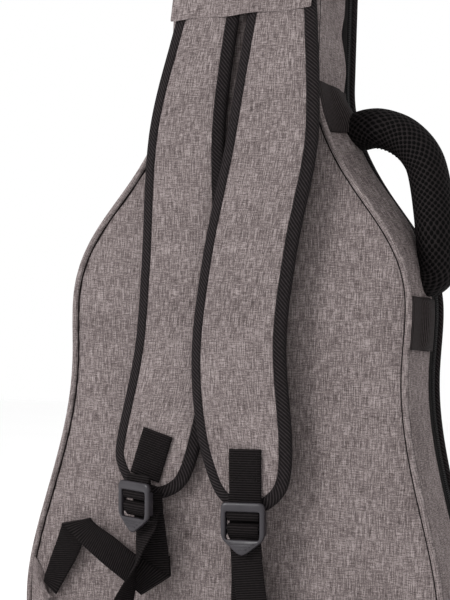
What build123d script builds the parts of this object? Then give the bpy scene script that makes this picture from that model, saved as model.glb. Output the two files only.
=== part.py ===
from build123d import *
import math
import os

# A padded gig bag for a full-size acoustic guitar, standing on its base.
# +Z runs from the base to the head end, -Y is the back with the shoulder straps,
# +Y is the front with the lid, and +X is the side with the carry handle.
# All sizes are in millimetres.

# ---- bag outline, half of it, in the XZ plane ----
HEIGHT = 1080.0
BASE_HALF = 95.0
BOUT_HALF = 212.0
BOUT_Z = 150.0
WAIST_HALF = 171.0
WAIST_Z = 375.0
CHEST_HALF = 173.0
CHEST_Z = 432.0
SHOULDER_HALF = 124.0
SHOULDER_Z = 542.0
NECK_HALF = 75.0
NECK_Z = 660.0
HEAD_CORNER = 60.0

# ---- the side of the outline, as Bezier control points from the base up ----
BASE_PULL = 165.0
BOUT_PULL_LOW = 70.0
BOUT_PULL_HIGH = 215.0
WAIST_PULL_LOW = 290.0
WAIST_PULL_HIGH = 395.0
CHEST_PULL_LOW = 412.0
CHEST_PULL_HIGH = 480.0
SHOULDER_PULL_LOW = (150.0, 508.0)
SHOULDER_PULL_HIGH = (98.0, 576.0)
NECK_PULL = 615.0
SIDE_CURVES = [
    [(BASE_HALF, 0), (BASE_PULL, 0), (BOUT_HALF, BOUT_PULL_LOW), (BOUT_HALF, BOUT_Z)],
    [(BOUT_HALF, BOUT_Z), (BOUT_HALF, BOUT_PULL_HIGH), (WAIST_HALF, WAIST_PULL_LOW), (WAIST_HALF, WAIST_Z)],
    [(WAIST_HALF, WAIST_Z), (WAIST_HALF, WAIST_PULL_HIGH), (CHEST_HALF, CHEST_PULL_LOW), (CHEST_HALF, CHEST_Z)],
    [(CHEST_HALF, CHEST_Z), (CHEST_HALF, CHEST_PULL_HIGH), SHOULDER_PULL_LOW, (SHOULDER_HALF, SHOULDER_Z)],
    [(SHOULDER_HALF, SHOULDER_Z), SHOULDER_PULL_HIGH, (NECK_HALF, NECK_PULL), (NECK_HALF, NECK_Z)],
]

# ---- walls, counted inwards from the outline or from the back and front faces ----
HALF_DEPTH = 60.0
PIPING_R = 3.25
PIPING_Y = HALF_DEPTH - 2.1
PANEL_INSET = 6.8
FABRIC = 1.2
FOAM = 10.0
LINING = 1.0
LAYER_GAP = 0.2
SKIN_INSET = 3.25
SIDE_FOAM = 8.0
GUSSET_BACK_Y = -54.4
GUSSET_FRONT_Y = 28.0
SIDE_FOAM_BACK_Y = -47.0

# ---- neck rest ----
REST_HALF = 56.0
REST_FRONT_Y = -20.0
REST_LOW_Z = 690.0
REST_HIGH_Z = 760.0
GROOVE_R = 34.0
GROOVE_OUT = 14.0

# ---- main zip ----
TAPE = 1.0
COIL_Y = 42.5
COIL_WIDE = 1.8
COIL_HIGH = 2.4
BODY_GAP = 0.4
ZIP_END_HALF = 112.0
ZIP_END_Z = 30.0

# ---- base ----
PATCH_THICK = 3.0
PATCH_HALF = 92.0
PATCH_HALF_DEPTH = 53.0
PATCH_CORNER = 12.0

# ---- shoulder straps ----
PAD_FACE = 1.4
PAD_FOAM = 10.0
PAD_MESH = 2.0
BINDING = 12.0
PAD_TOP_Z = 746.0
PAD_REACH = 300.0
PAD_BACK_Y = {"left": -61.5, "right": -76.2}
YOKE_WIDE = 136.0
YOKE_HIGH = 38.0
YOKE_THICK = 1.6
YOKE_CORNER = 6.0
YOKE_GAP = 1.0
WEB = 32.0
WEB_THICK = 1.6
RUN_WIDE = 31.0

# ---- edges of the strap pads, as points in XZ: down the left edge and up the right one ----
PAD_LEFT_EDGE = {
    "left": [(-60, 750), (-69, 703), (-92, 600), (-95, 470), (-99, 390), (-113, 312), (-115, 284), (-101, 257)],
    "right": [(8, 750), (5, 706), (-4, 600), (-24, 487), (-33, 392), (-25, 316), (-6, 262), (13, 244)],
}
PAD_RIGHT_EDGE = {
    "left": [(-64, 247), (-40, 262), (-26, 300), (-12, 380), (-7, 480), (-12, 600), (-2, 706), (1, 750)],
    "right": [(48, 244), (68, 266), (71, 310), (62, 400), (70, 488), (87, 595), (77, 704), (69, 750)],
}

# ---- ladderlock buckles ----
LOCK_HALF = 21.5
LOCK_BAR_R = 2.2
LOCK_SLOT_HALF = 16.8
LOCK_TOP_Z = -3.5
LOCK_SHOULDER_Z = -36.5
LOCK_TIP_Z = -52.0
WINDOW_TOP_Z = -12.0
WINDOW_LOW_Z = -37.5
FIXED_BAR_Z = -16.5
ADJUST_BAR_Z = -27.0
BAR_Y = -2.6
LOCK_RIM_THICK = 4.0
LOCK_RIM_FRONT = 5.5
CHEEK_FRONT = 2.0
CHEEK_BACK = 2.4
CHEEK_FOOT = 4.0
LOOP_CLEAR = 0.4
FOLD_AT = {"left": (-79.3, 269.0), "right": (29.5, 257.0)}
TAB_LEAN = {"left": -16.0, "right": 2.0}
TAB_LONG = 45.0
FOLD_GAP = 2.0
LOCK_LEAN = {"left": -2.0, "right": 2.0}
LOCK_YAW = {"left": -24.0, "right": 0.0}
LOCK_PITCH = {"left": -5.0, "right": 0.0}

# ---- webbing between the buckles and the side seams, its free tails, and the wings ----
ANCHOR_RUNS = {
    "left": [(-75, 232), (-66, 168), (-152, 219), (-181, 157)],
    "right": [(27, 212), (26, 92), (110, 100), (186, 128)],
}
ANCHOR_Y = {"left": -72.2, "right": -72.2}
WING_TIP = {"left": (-180, 146), "right": (178, 118)}
WING_TOP = {"left": 186.0, "right": 158.0}
WING_DROP = 92.0
WING_SEAM_TOP_X = 206.0
WING_SEAM_LOW_X = 204.0
WING_FRONT_Y = -70.6
WING_BACK_Y = -61.6
TAIL_RUNS = {
    "left": [(-77, 226), (-79, 196), (-98, 133)],
    "right": [(31, 216), (38, 170), (46, 104)],
}
TAIL_Y = {"left": -78.6, "right": -93.8}

# ---- carry handle on the side ----
HANDLE_Y = -8.0
HANDLE_WIDE = 46.0
HANDLE_THICK = 39.0
HANDLE_MESH = 2.0
HANDLE_CENTRE = (113.5, 550.4)
HANDLE_R = 59.0
HANDLE_FROM = 10.0
HANDLE_TO = 104.0
HANDLE_LEG = 92.0
HANDLE_WEB = 36.0
HANDLE_WEB_THICK = 2.4
HANDLE_HEAD = (92.0, 606.0)
HANDLE_FOOT = (174.4, 451.5)
TONGUE_WIDE = 12.0
BAND_HIGH = 48.0
BAND_THICK = 1.8
BAND_EDGE_GAP = 0.6
BAND_REACH = 60.0
BAND_UPPER = (80.0, 623.0, -66.0)
BAND_LOWER = (172.0, 424.0, -88.0)

# ---- hang loop ----
LOOP_FOOT_R = 3.0
LOOP_HEAD_R = 13.0
LOOP_RISE = 42.0
LOOP_WIDE = 25.0
LOOP_THICK = 2.2
LOOP_Y = -13.0
LOOP_STEP = 0.5
LOOP_FOOT_Z = HEIGHT - SKIN_INSET + LOOP_FOOT_R + LOOP_STEP

# ---- sliders and pullers ----
SLIDER_LONG = 14.0
SLIDER_WIDE = 10.0
SLIDER_PLATE = 1.6
PLATE_CORNER = 3.0
SLIDER_STEP = 0.5
BAIL_STEP = 0.6
PULLER_STEP = 0.8
PULLER_SHIFT = 1.1
GRIP_HOLE_R = 1.8
GRIP_HOLE_FROM_END = 6.0
PULLER_LONG = 30.0
PULLER_WIDE = 8.0
PULLER_THICK = 1.8
SLIDER_CLEAR = COIL_HIGH / 2 + SLIDER_STEP
BAIL_Z = SLIDER_CLEAR + SLIDER_PLATE + BAIL_STEP
BAIL_INNER_R = 2.4
BAIL_OUTER_R = 3.8
BAIL_WIDE = 2.4
EYE_LONG = 4.0
EYE_WIDE = 4.4
EYE_CENTRE = 3.4
SLIDER_Z = {"upper": 884.0, "lower": 826.0}

# ---- front pocket ----
POCKET_INSET = 34.0
POCKET_TOP = 396.0
POCKET_BOTTOM = 36.0
POCKET_Y = 61.6
POCKET_PANEL = 4.0
POCKET_PIPING = 4.0
POCKET_ZIP_Z = 411.0
POCKET_ZIP_HALF = 128.0
POCKET_ZIP_STOP = 4.0
POCKET_TAPE_HIGH = 26.0
POCKET_SLIDER_X = 112.0

os.makedirs("parts", exist_ok=True)


def save(shape, name):
    """Write one named piece to its own file."""
    export_step(shape, "parts/" + name + ".step")


def upright(y):
    """A drawing plane at depth y: its x is +X and its y is +Z."""
    return Plane(origin=(0, y, 0), x_dir=(1, 0, 0), z_dir=(0, -1, 0))


def plate(sketch, y_from, y_to):
    """Thicken an XZ sketch from y_from to y_to."""
    return extrude(upright(y_from) * sketch, amount=y_to - y_from, dir=(0, 1, 0))




def left_of(direction, distance):
    """A step of the given distance to the left of a direction in the plane."""
    return Vector(-direction.Y, direction.X).normalized() * distance


def drawn_in(controls, inset):
    """A Bezier curve's control points, moved to its left by inset."""
    start, leave, arrive, end = (Vector(*point) for point in controls)
    new_start = start + left_of(leave - start, inset)
    new_end = end + left_of(end - arrive, inset)
    shrink = (new_end - new_start).length / (end - start).length
    return [new_start, new_start + (leave - start) * shrink, new_end - (end - arrive) * shrink, new_end]


def half_outline(side, inset):
    """One side of the outline from the base centre to the head end."""
    head_x = NECK_HALF - HEAD_CORNER
    head_z = HEIGHT - HEAD_CORNER
    corner_r = HEAD_CORNER - inset
    diagonal = corner_r * math.sqrt(0.5)
    curves = [
        Bezier(*[(side * point.X, point.Y) for point in drawn_in(controls, inset)])
        for controls in SIDE_CURVES
    ]
    neck_x = side * (NECK_HALF - inset)
    return [
        Line((0, inset), (side * BASE_HALF, inset)),
        *curves,
        Line((neck_x, NECK_Z), (neck_x, head_z)),
        ThreePointArc(
            (neck_x, head_z),
            (side * (head_x + diagonal), head_z + diagonal),
            (side * head_x, HEIGHT - inset),
        ),
        Line((side * head_x, HEIGHT - inset), (0, HEIGHT - inset)),
    ]


def bag_face(inset):
    """The bag's outline drawn in by inset."""
    return make_face(half_outline(1, inset) + half_outline(-1, inset))


def slab(inset, y_from, y_to):
    return plate(bag_face(inset), y_from, y_to)


def wall(outer, inner, y_from, y_to):
    """A closed band that follows the outline between two insets."""
    ring = Face(bag_face(outer).face().outer_wire(), [bag_face(inner).face().outer_wire()])
    return plate(ring, y_from, y_to)


def block(x_from, x_to, y_from, y_to, z_from, z_to):
    centre = ((x_from + x_to) / 2, (y_from + y_to) / 2, (z_from + z_to) / 2)
    return Pos(*centre) * Box(x_to - x_from, y_to - y_from, z_to - z_from)


def piping(y):
    """Round cord piping along the seam at depth y."""
    path = (upright(y) * bag_face(PIPING_R)).face().outer_wire()
    start = path.position_at(0)
    section = Plane(origin=start, z_dir=path.tangent_at(0)) * Circle(PIPING_R)
    return sweep(section, path=path)


# ---- back panel, three layers ----
outer_y = -HALF_DEPTH + FABRIC
foam_y = outer_y + LAYER_GAP
lining_y = foam_y + FOAM + LAYER_GAP
save(slab(PANEL_INSET, -HALF_DEPTH, outer_y), "back_outer_fabric")
save(slab(PANEL_INSET, foam_y, foam_y + FOAM), "back_foam")
save(slab(PANEL_INSET, lining_y, lining_y + LINING), "back_lining")
save(piping(-PIPING_Y), "back_piping")

# ---- side gusset, three layers ----
foam_inset = SKIN_INSET + FABRIC + LAYER_GAP
lining_inset = foam_inset + SIDE_FOAM + LAYER_GAP
save(wall(SKIN_INSET, SKIN_INSET + FABRIC, GUSSET_BACK_Y, GUSSET_FRONT_Y), "gusset_outer_fabric")
save(wall(foam_inset, foam_inset + SIDE_FOAM, SIDE_FOAM_BACK_Y, GUSSET_FRONT_Y), "gusset_foam")
save(wall(lining_inset, lining_inset + LINING, SIDE_FOAM_BACK_Y, GUSSET_FRONT_Y), "gusset_lining")

# ---- base: rubberised patch underneath, and the strip that the lid folds on ----
patch = block(-PATCH_HALF, PATCH_HALF, -PATCH_HALF_DEPTH, PATCH_HALF_DEPTH, 0, PATCH_THICK)
save(fillet(patch.edges().filter_by(Axis.Z), PATCH_CORNER), "base_patch")
base_zone = block(-ZIP_END_HALF, ZIP_END_HALF, -HALF_DEPTH, HALF_DEPTH + FOAM, -FOAM, ZIP_END_Z)
strip_end = PIPING_Y - PIPING_R - BODY_GAP
strip = wall(SKIN_INSET, SKIN_INSET + FABRIC, GUSSET_FRONT_Y + LAYER_GAP, strip_end)
save(strip & base_zone, "base_hinge_strip")

# ---- main zip: tapes and coils on the body and on the lid, open only at the base ----
body_coil_y = COIL_Y - BODY_GAP / 2 - COIL_WIDE
lid_coil_y = COIL_Y + BODY_GAP / 2
coil_inset = SKIN_INSET - (COIL_HIGH - TAPE) / 2
body_tape = wall(SKIN_INSET, SKIN_INSET + TAPE, GUSSET_FRONT_Y + LAYER_GAP, body_coil_y - LAYER_GAP)
body_coil = wall(coil_inset, coil_inset + COIL_HIGH, body_coil_y, body_coil_y + COIL_WIDE)
lid_tape = wall(SKIN_INSET, SKIN_INSET + TAPE, lid_coil_y + COIL_WIDE + LAYER_GAP, PIPING_Y - PIPING_R - LAYER_GAP)
lid_coil = wall(coil_inset, coil_inset + COIL_HIGH, lid_coil_y, lid_coil_y + COIL_WIDE)
save(body_tape - base_zone, "zip_tape_body_side")
save(body_coil - base_zone, "zip_coil_body_side")
save(lid_tape - base_zone, "zip_tape_lid_side")
save(lid_coil - base_zone, "zip_coil_lid_side")

# ---- lid: front panel in three layers with its piping ----
save(slab(PANEL_INSET, HALF_DEPTH - FABRIC, HALF_DEPTH), "front_outer_fabric")
save(slab(PANEL_INSET, -foam_y - FOAM, -foam_y), "front_foam")
save(slab(PANEL_INSET, -lining_y - LINING, -lining_y), "front_lining")
save(piping(PIPING_Y), "front_piping")

# ---- front pocket, lying flat on the lid ----
def pocket_face(inset):
    """The pocket's outline drawn in by inset: the lower bout with a straight top edge."""
    high = POCKET_TOP - inset
    low = POCKET_BOTTOM + inset
    return bag_face(POCKET_INSET + inset) & (Pos(0, (high + low) / 2) * Rectangle(2 * BOUT_HALF, high - low))


save(plate(pocket_face(POCKET_PIPING + LAYER_GAP), POCKET_Y, POCKET_Y + POCKET_PANEL), "pocket_panel")
rim = pocket_face(0) - pocket_face(POCKET_PIPING)
save(plate(rim, POCKET_Y, POCKET_Y + POCKET_PIPING), "pocket_piping")
pocket_tape = block(
    -POCKET_ZIP_HALF,
    POCKET_ZIP_HALF,
    POCKET_Y,
    POCKET_Y + TAPE,
    POCKET_ZIP_Z - POCKET_TAPE_HIGH / 2,
    POCKET_ZIP_Z + POCKET_TAPE_HIGH / 2,
)
save(pocket_tape, "pocket_zip_tape")
pocket_coil_y = POCKET_Y + TAPE + LAYER_GAP
pocket_coil = block(
    -POCKET_ZIP_HALF + POCKET_ZIP_STOP,
    POCKET_ZIP_HALF - POCKET_ZIP_STOP,
    pocket_coil_y,
    pocket_coil_y + COIL_HIGH / 2,
    POCKET_ZIP_Z - COIL_WIDE,
    POCKET_ZIP_Z + COIL_WIDE,
)
save(pocket_coil, "pocket_zip_coil")

# ---- neck rest inside the bag ----
rest_back_y = lining_y + LINING + LAYER_GAP
neck_rest = block(-REST_HALF, REST_HALF, rest_back_y, REST_FRONT_Y, REST_LOW_Z, REST_HIGH_Z)
groove_high = REST_HIGH_Z - REST_LOW_Z + 2 * FOAM
groove_middle = (REST_HIGH_Z + REST_LOW_Z) / 2
groove = Pos(0, REST_FRONT_Y + GROOVE_OUT, groove_middle) * Cylinder(GROOVE_R, groove_high)
save(neck_rest - groove, "neck_rest_cushion")


# ---- shoulder straps ----


def pad_edge(points, inset):
    """A smooth edge through a few points, moved to its left by inset."""
    edge = Spline(*points)
    if inset == 0:
        return edge
    steps = range(len(points) * 2)
    places = [step / (len(points) * 2 - 1) for step in steps]
    return Spline(*[edge.position_at(t) + left_of(edge.tangent_at(t), inset) for t in places])


def pad_face(side, inset):
    """The strap pad's outline in the XZ plane, drawn in by inset."""
    down = pad_edge(PAD_LEFT_EDGE[side], inset)
    up = pad_edge(PAD_RIGHT_EDGE[side], inset)
    shape = make_face([down, Line(down @ 1, up @ 0), up, Line(up @ 1, down @ 0)])
    return shape & (Pos(0, PAD_TOP_Z - inset - PAD_REACH) * Rectangle(2 * HEIGHT, 2 * PAD_REACH))


def strap_end(side):
    """Where the buckle hangs from the pad's webbing tab: the fold line of the tab, with its turns."""
    x, z = FOLD_AT[side]
    yaw = Pos(-LOCK_HALF, 0, 0) * Rot(0, 0, LOCK_YAW[side]) * Pos(LOCK_HALF, 0, 0)
    return Pos(x, fold_y(side), z) * Rot(0, -LOCK_LEAN[side], 0) * yaw * Rot(-LOCK_PITCH[side], 0, 0)


def fold_y(side):
    """Depth of the middle of the webbing tab."""
    return PAD_BACK_Y[side] - PAD_MESH - PAD_FOAM - PAD_FACE - 3 * LAYER_GAP - WEB_THICK


def buckle():
    """Ladderlock below the fold line: a rim with a pointed lever, and two bars set back behind it."""
    rim_face = Polyline(
        (-LOCK_HALF, LOCK_TOP_Z),
        (-LOCK_HALF, LOCK_SHOULDER_Z),
        (0, LOCK_TIP_Z),
        (LOCK_HALF, LOCK_SHOULDER_Z),
        (LOCK_HALF, LOCK_TOP_Z),
        close=True,
    )
    window_middle = (WINDOW_TOP_Z + WINDOW_LOW_Z) / 2
    window = Pos(0, window_middle) * Rectangle(2 * LOCK_SLOT_HALF, WINDOW_TOP_Z - WINDOW_LOW_Z)
    rim_front = BAR_Y - LOCK_RIM_FRONT
    shape = plate(make_face(rim_face) - window, rim_front, rim_front + LOCK_RIM_THICK)
    for z in (FIXED_BAR_Z, ADJUST_BAR_Z):
        bar_frame = Plane(origin=(0, BAR_Y, z), x_dir=(0, 1, 0), z_dir=(1, 0, 0))
        shape += extrude(bar_frame * Circle(LOCK_BAR_R), amount=LOCK_HALF, both=True)
    cheek = block(
        LOCK_SLOT_HALF,
        LOCK_HALF,
        BAR_Y - CHEEK_FRONT,
        BAR_Y + CHEEK_BACK,
        WINDOW_LOW_Z + CHEEK_FOOT,
        WINDOW_TOP_Z,
    )
    return shape + cheek + mirror(cheek, Plane.YZ)


def buckle_loop():
    """Two layers of webbing from the fold line down and round the buckle's fixed bar."""
    loop_r = LOCK_BAR_R + LOOP_CLEAR + WEB_THICK
    bar_frame = Plane(origin=(0, BAR_Y, FIXED_BAR_Z), x_dir=(0, 1, 0), z_dir=(1, 0, 0))
    ring = extrude(bar_frame * Circle(loop_r), amount=WEB / 2, both=True)
    layers = block(-WEB / 2, WEB / 2, -WEB_THICK, WEB_THICK, FIXED_BAR_Z, -FOLD_GAP)
    bore = extrude(bar_frame * Circle(LOCK_BAR_R + LOOP_CLEAR), amount=WEB, both=True)
    return ring + layers - bore


def build_strap(side):
    name = "strap_" + side
    back_y = PAD_BACK_Y[side]
    inner = pad_face(side, BINDING)
    # the padded core, its face fabric and the air mesh behind, all inside the binding
    save(plate(inner, back_y - PAD_MESH, back_y), name + "_air_mesh")
    foam_back = back_y - PAD_MESH - LAYER_GAP
    save(plate(inner, foam_back - PAD_FOAM, foam_back), name + "_foam")
    face_back = foam_back - PAD_FOAM - LAYER_GAP
    face_front = face_back - PAD_FACE
    save(plate(inner, face_front, face_back), name + "_face_fabric")
    edge = pad_face(side, 0) - pad_face(side, BINDING - LAYER_GAP)
    save(plate(edge, face_front, back_y), name + "_binding")
    # webbing tab sewn on the pad's lower end, and what hangs from it
    x, z = FOLD_AT[side]
    sewn = Pos(x, z) * Rot(0, 0, TAB_LEAN[side]) * Pos(0, TAB_LONG / 2) * Rectangle(WEB, TAB_LONG)
    save(plate(sewn, fold_y(side) - WEB_THICK, fold_y(side) + WEB_THICK), name + "_tab_webbing")
    save(strap_end(side) * buckle_loop(), name + "_buckle_loop")
    save(strap_end(side) * buckle(), "ladderlock_" + side)


def webbing_run(points, y_from, step_y):
    """Flat webbing folded into straight runs, each lying on the one before it."""
    shape = None
    y = y_from
    for start, end in zip(points, points[1:]):
        middle = ((start[0] + end[0]) / 2, (start[1] + end[1]) / 2)
        length = math.dist(start, end)
        angle = math.degrees(math.atan2(end[1] - start[1], end[0] - start[0]))
        run_face = Pos(*middle) * Rot(0, 0, angle) * Rectangle(length, RUN_WIDE)
        run = plate(run_face, y, y + WEB_THICK)
        shape = run if shape is None else shape + run
        y += step_y
    return shape


for side in ("left", "right"):
    build_strap(side)

# patch sewn on the back panel just above the pads, over the seam that holds them
yoke_face = Pos(0, PAD_TOP_Z + YOKE_GAP + YOKE_HIGH / 2) * RectangleRounded(YOKE_WIDE, YOKE_HIGH, YOKE_CORNER)
yoke_back = -HALF_DEPTH - LAYER_GAP
save(plate(yoke_face, yoke_back - YOKE_THICK, yoke_back), "strap_yoke")

# adjusting webbing from the buckle down to the wing in the side seam
for side, sign in (("left", -1), ("right", 1)):
    runs = webbing_run(ANCHOR_RUNS[side], ANCHOR_Y[side], WEB_THICK)
    wing_face = make_face(
        Polyline(
            (sign * WING_SEAM_TOP_X, WING_TOP[side]),
            WING_TIP[side],
            (sign * WING_SEAM_LOW_X, WING_TOP[side] - WING_DROP),
            close=True,
        )
    )
    wing = plate(wing_face, WING_FRONT_Y, WING_BACK_Y) - offset(runs, amount=LAYER_GAP)
    save(wing, "wing_tab_" + side)
    save(runs, "strap_" + side + "_anchor_webbing")

# free tails that hang down behind the buckles' levers
for side in ("left", "right"):
    points = TAIL_RUNS[side]
    bend = plate(Pos(*points[1]) * Circle(RUN_WIDE / 2), TAIL_Y[side], TAIL_Y[side] + WEB_THICK)
    save(webbing_run(points, TAIL_Y[side], 0) + bend, "strap_" + side + "_webbing_tail")


# ---- carry handle ----
def on_circle(radius, degrees):
    a = math.radians(degrees)
    return (HANDLE_CENTRE[0] + radius * math.cos(a), HANDLE_CENTRE[1] + radius * math.sin(a))


def handle_leg_end():
    """The lower end of the straight part of the handle."""
    x, z = on_circle(HANDLE_R, HANDLE_FROM)
    a = math.radians(HANDLE_FROM)
    return (x + HANDLE_LEG * math.sin(a), z - HANDLE_LEG * math.cos(a))


def handle_sweep(section_sketch):
    """Carry a cross section, drawn as depth by thickness, along the leg and the bow."""
    bow_start = on_circle(HANDLE_R, HANDLE_FROM)
    bow_middle = on_circle(HANDLE_R, (HANDLE_FROM + HANDLE_TO) / 2)
    bow_end = on_circle(HANDLE_R, HANDLE_TO)
    path_2d = Line(handle_leg_end(), bow_start) + ThreePointArc(bow_start, bow_middle, bow_end)
    path = upright(HANDLE_Y) * path_2d
    wire = Wire(path.edges())
    section = Plane(origin=wire.position_at(0), x_dir=(0, 1, 0), z_dir=wire.tangent_at(0)) * section_sketch
    return sweep(section, path=wire)


sleeve_outer = Ellipse(HANDLE_WIDE / 2, HANDLE_THICK / 2)
sleeve_inner = Ellipse(HANDLE_WIDE / 2 - HANDLE_MESH, HANDLE_THICK / 2 - HANDLE_MESH)
core_outer = Ellipse(HANDLE_WIDE / 2 - HANDLE_MESH - LAYER_GAP, HANDLE_THICK / 2 - HANDLE_MESH - LAYER_GAP)
core_slot = Rectangle(HANDLE_WEB + 2 * LAYER_GAP, HANDLE_WEB_THICK + 2 * LAYER_GAP)
save(handle_sweep(sleeve_outer) - handle_sweep(sleeve_inner), "handle_mesh_sleeve")
save(handle_sweep(core_outer) - handle_sweep(core_slot), "handle_foam_core")


def run_out(start, end):
    """The handle's webbing between the end of its padding and the band that it is sewn under."""
    middle = ((start[0] + end[0]) / 2, (start[1] + end[1]) / 2)
    angle = math.degrees(math.atan2(end[1] - start[1], end[0] - start[0]))
    face = Pos(*middle) * Rot(0, 0, angle) * Rectangle(math.dist(start, end), HANDLE_WEB_THICK)
    return plate(face, HANDLE_Y - TONGUE_WIDE / 2, HANDLE_Y + TONGUE_WIDE / 2)


handle_webbing = handle_sweep(Rectangle(HANDLE_WEB, HANDLE_WEB_THICK))
handle_webbing += run_out(handle_leg_end(), HANDLE_FOOT)
handle_webbing += run_out(on_circle(HANDLE_R, HANDLE_TO), HANDLE_HEAD)
save(handle_webbing, "handle_webbing")


def band(place):
    """A webbing band sewn across the gusset, following its surface."""
    x, z, angle = place
    band_inset = SKIN_INSET - LAYER_GAP - BAND_THICK
    skin = wall(band_inset, SKIN_INSET - LAYER_GAP, GUSSET_BACK_Y + BAND_EDGE_GAP, GUSSET_FRONT_Y)
    window = Pos(x, 0, z) * Rot(0, -angle, 0) * Box(BAND_HIGH, 2 * BAND_REACH, BAND_REACH)
    return skin & window


save(band(BAND_UPPER), "handle_band_upper")
save(band(BAND_LOWER), "handle_band_lower")

# ---- hang loop at the head end: webbing folded into a teardrop ----
def teardrop(foot_r, head_r):
    """A drop shape that stands on the origin, with its round head above."""
    lean = (head_r - foot_r) / LOOP_RISE
    flat = math.sqrt(1 - lean * lean)
    sides = [
        (foot_r * flat, foot_r * lean),
        (head_r * flat, LOOP_RISE + head_r * lean),
        (-head_r * flat, LOOP_RISE + head_r * lean),
        (-foot_r * flat, foot_r * lean),
    ]
    return make_face(Polyline(*sides, close=True)) + Circle(foot_r) + Pos(0, LOOP_RISE) * Circle(head_r)


loop_frame = Plane(origin=(0, LOOP_Y, LOOP_FOOT_Z), x_dir=(0, 1, 0), z_dir=(1, 0, 0))
loop_profile = teardrop(LOOP_FOOT_R, LOOP_HEAD_R) - teardrop(LOOP_FOOT_R - LOOP_THICK, LOOP_HEAD_R - LOOP_THICK)
save(extrude(loop_frame * loop_profile, amount=LOOP_WIDE / 2, both=True), "hang_loop")


# ---- sliders and pullers ----
def slider():
    """A slider lying over a coil: local +Z away from the tape, local X along the zip."""
    top = Pos(0, 0, SLIDER_CLEAR + SLIDER_PLATE / 2) * Box(SLIDER_LONG, SLIDER_WIDE, SLIDER_PLATE)
    top = fillet(top.edges().filter_by(Axis.Z), PLATE_CORNER)
    ring_face = Circle(BAIL_OUTER_R) - Circle(BAIL_INNER_R)
    ring_frame = Plane(origin=(0, 0, BAIL_Z), x_dir=(1, 0, 0), z_dir=(0, -1, 0))
    ring = extrude(ring_frame * ring_face, amount=BAIL_WIDE / 2, both=True)
    above = Pos(0, 0, SLIDER_CLEAR + SLIDER_PLATE / 2 + BAIL_OUTER_R) * Box(SLIDER_LONG, SLIDER_WIDE, 2 * BAIL_OUTER_R)
    return top + (ring & above)


def puller():
    """A flat puller along local -X, with an eye near its upper end at the origin."""
    blade = Pos(-PULLER_LONG / 2, 0, 0) * Box(PULLER_LONG, PULLER_WIDE, PULLER_THICK)
    blade = fillet(blade.edges().filter_by(Axis.Z), PLATE_CORNER)
    eye = Pos(-EYE_CENTRE, 0, 0) * Box(EYE_LONG, EYE_WIDE, 2 * PULLER_THICK)
    grip_hole = Pos(-PULLER_LONG + GRIP_HOLE_FROM_END, 0, 0) * Cylinder(GRIP_HOLE_R, 2 * PULLER_THICK)
    return blade - eye - grip_hole


puller_z = BAIL_Z + PULLER_STEP
for name, z in SLIDER_Z.items():
    coil_x = -(NECK_HALF - coil_inset - COIL_HIGH / 2)
    place = Plane(origin=(coil_x, COIL_Y, z), x_dir=(0, 0, 1), z_dir=(-1, 0, 0))
    save(place * slider(), "zip_slider_" + name)
    save(place * Pos(PULLER_SHIFT, 0, puller_z) * puller(), "zip_puller_" + name)

# the pocket's slider stands at the closed end, its puller hanging round one leg of the bail
pocket_slider_y = pocket_coil_y
pocket_place = Plane(origin=(POCKET_SLIDER_X, pocket_slider_y, POCKET_ZIP_Z), x_dir=(1, 0, 0), z_dir=(0, 1, 0))
save(pocket_place * slider(), "pocket_slider")
leg_x = POCKET_SLIDER_X - (BAIL_INNER_R + BAIL_OUTER_R) / 2
hang_place = Plane(origin=(leg_x, pocket_slider_y + puller_z, POCKET_ZIP_Z), x_dir=(0, 0, 1), z_dir=(0, 1, 0))
save(hang_place * Pos(EYE_CENTRE, 0, 0) * puller(), "pocket_puller")
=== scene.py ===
import math

import bpy
import numpy as np
from mathutils import Matrix, Vector, noise


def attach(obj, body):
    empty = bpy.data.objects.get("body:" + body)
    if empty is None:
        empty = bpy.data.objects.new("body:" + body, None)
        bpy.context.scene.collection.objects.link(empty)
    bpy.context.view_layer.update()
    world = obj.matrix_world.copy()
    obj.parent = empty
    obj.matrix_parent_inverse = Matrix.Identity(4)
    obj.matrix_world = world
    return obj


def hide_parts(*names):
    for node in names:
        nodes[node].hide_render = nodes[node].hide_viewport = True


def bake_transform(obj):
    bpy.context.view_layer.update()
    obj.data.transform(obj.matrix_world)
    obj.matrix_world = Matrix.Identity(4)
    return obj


# The looks of a padded gig bag. Sizes are in millimetres in the frame of the CAD model, and
# MM turns them into metres where a mesh is made.
# +Z runs to the head end, -Y is the strap side, +Y the lid and +X the side with the handle.

MM = 0.001
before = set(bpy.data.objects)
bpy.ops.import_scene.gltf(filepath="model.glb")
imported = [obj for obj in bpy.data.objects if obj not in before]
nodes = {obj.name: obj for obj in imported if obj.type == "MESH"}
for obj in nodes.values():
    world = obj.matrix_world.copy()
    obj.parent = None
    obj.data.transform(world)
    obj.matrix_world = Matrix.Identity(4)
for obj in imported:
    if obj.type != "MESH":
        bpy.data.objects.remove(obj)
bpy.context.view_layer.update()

# ---- sizes shared with the CAD model ----
HEIGHT = 1080.0
HEAD_CORNER = 60.0
NECK_HALF = 75.0
PIPING_R = 3.25
PIPING_Y = 57.9
PANEL_INSET = 6.4
SKIN_INSET = 3.25
LINING_INSET = 13.85
GUSSET_BACK_Y = -54.4
GUSSET_FRONT_Y = 28.0
COIL_Y = 42.5
ZIP_END_HALF = 112.0
ZIP_END_Z = 30.0
SIDE_CURVES = [
    [(95, 0), (165, 0), (212, 70), (212, 150)],
    [(212, 150), (212, 215), (171, 290), (171, 375)],
    [(171, 375), (171, 395), (173, 412), (173, 432)],
    [(173, 432), (173, 480), (150, 508), (124, 542)],
    [(124, 542), (98, 576), (75, 615), (75, 660)],
]
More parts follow.
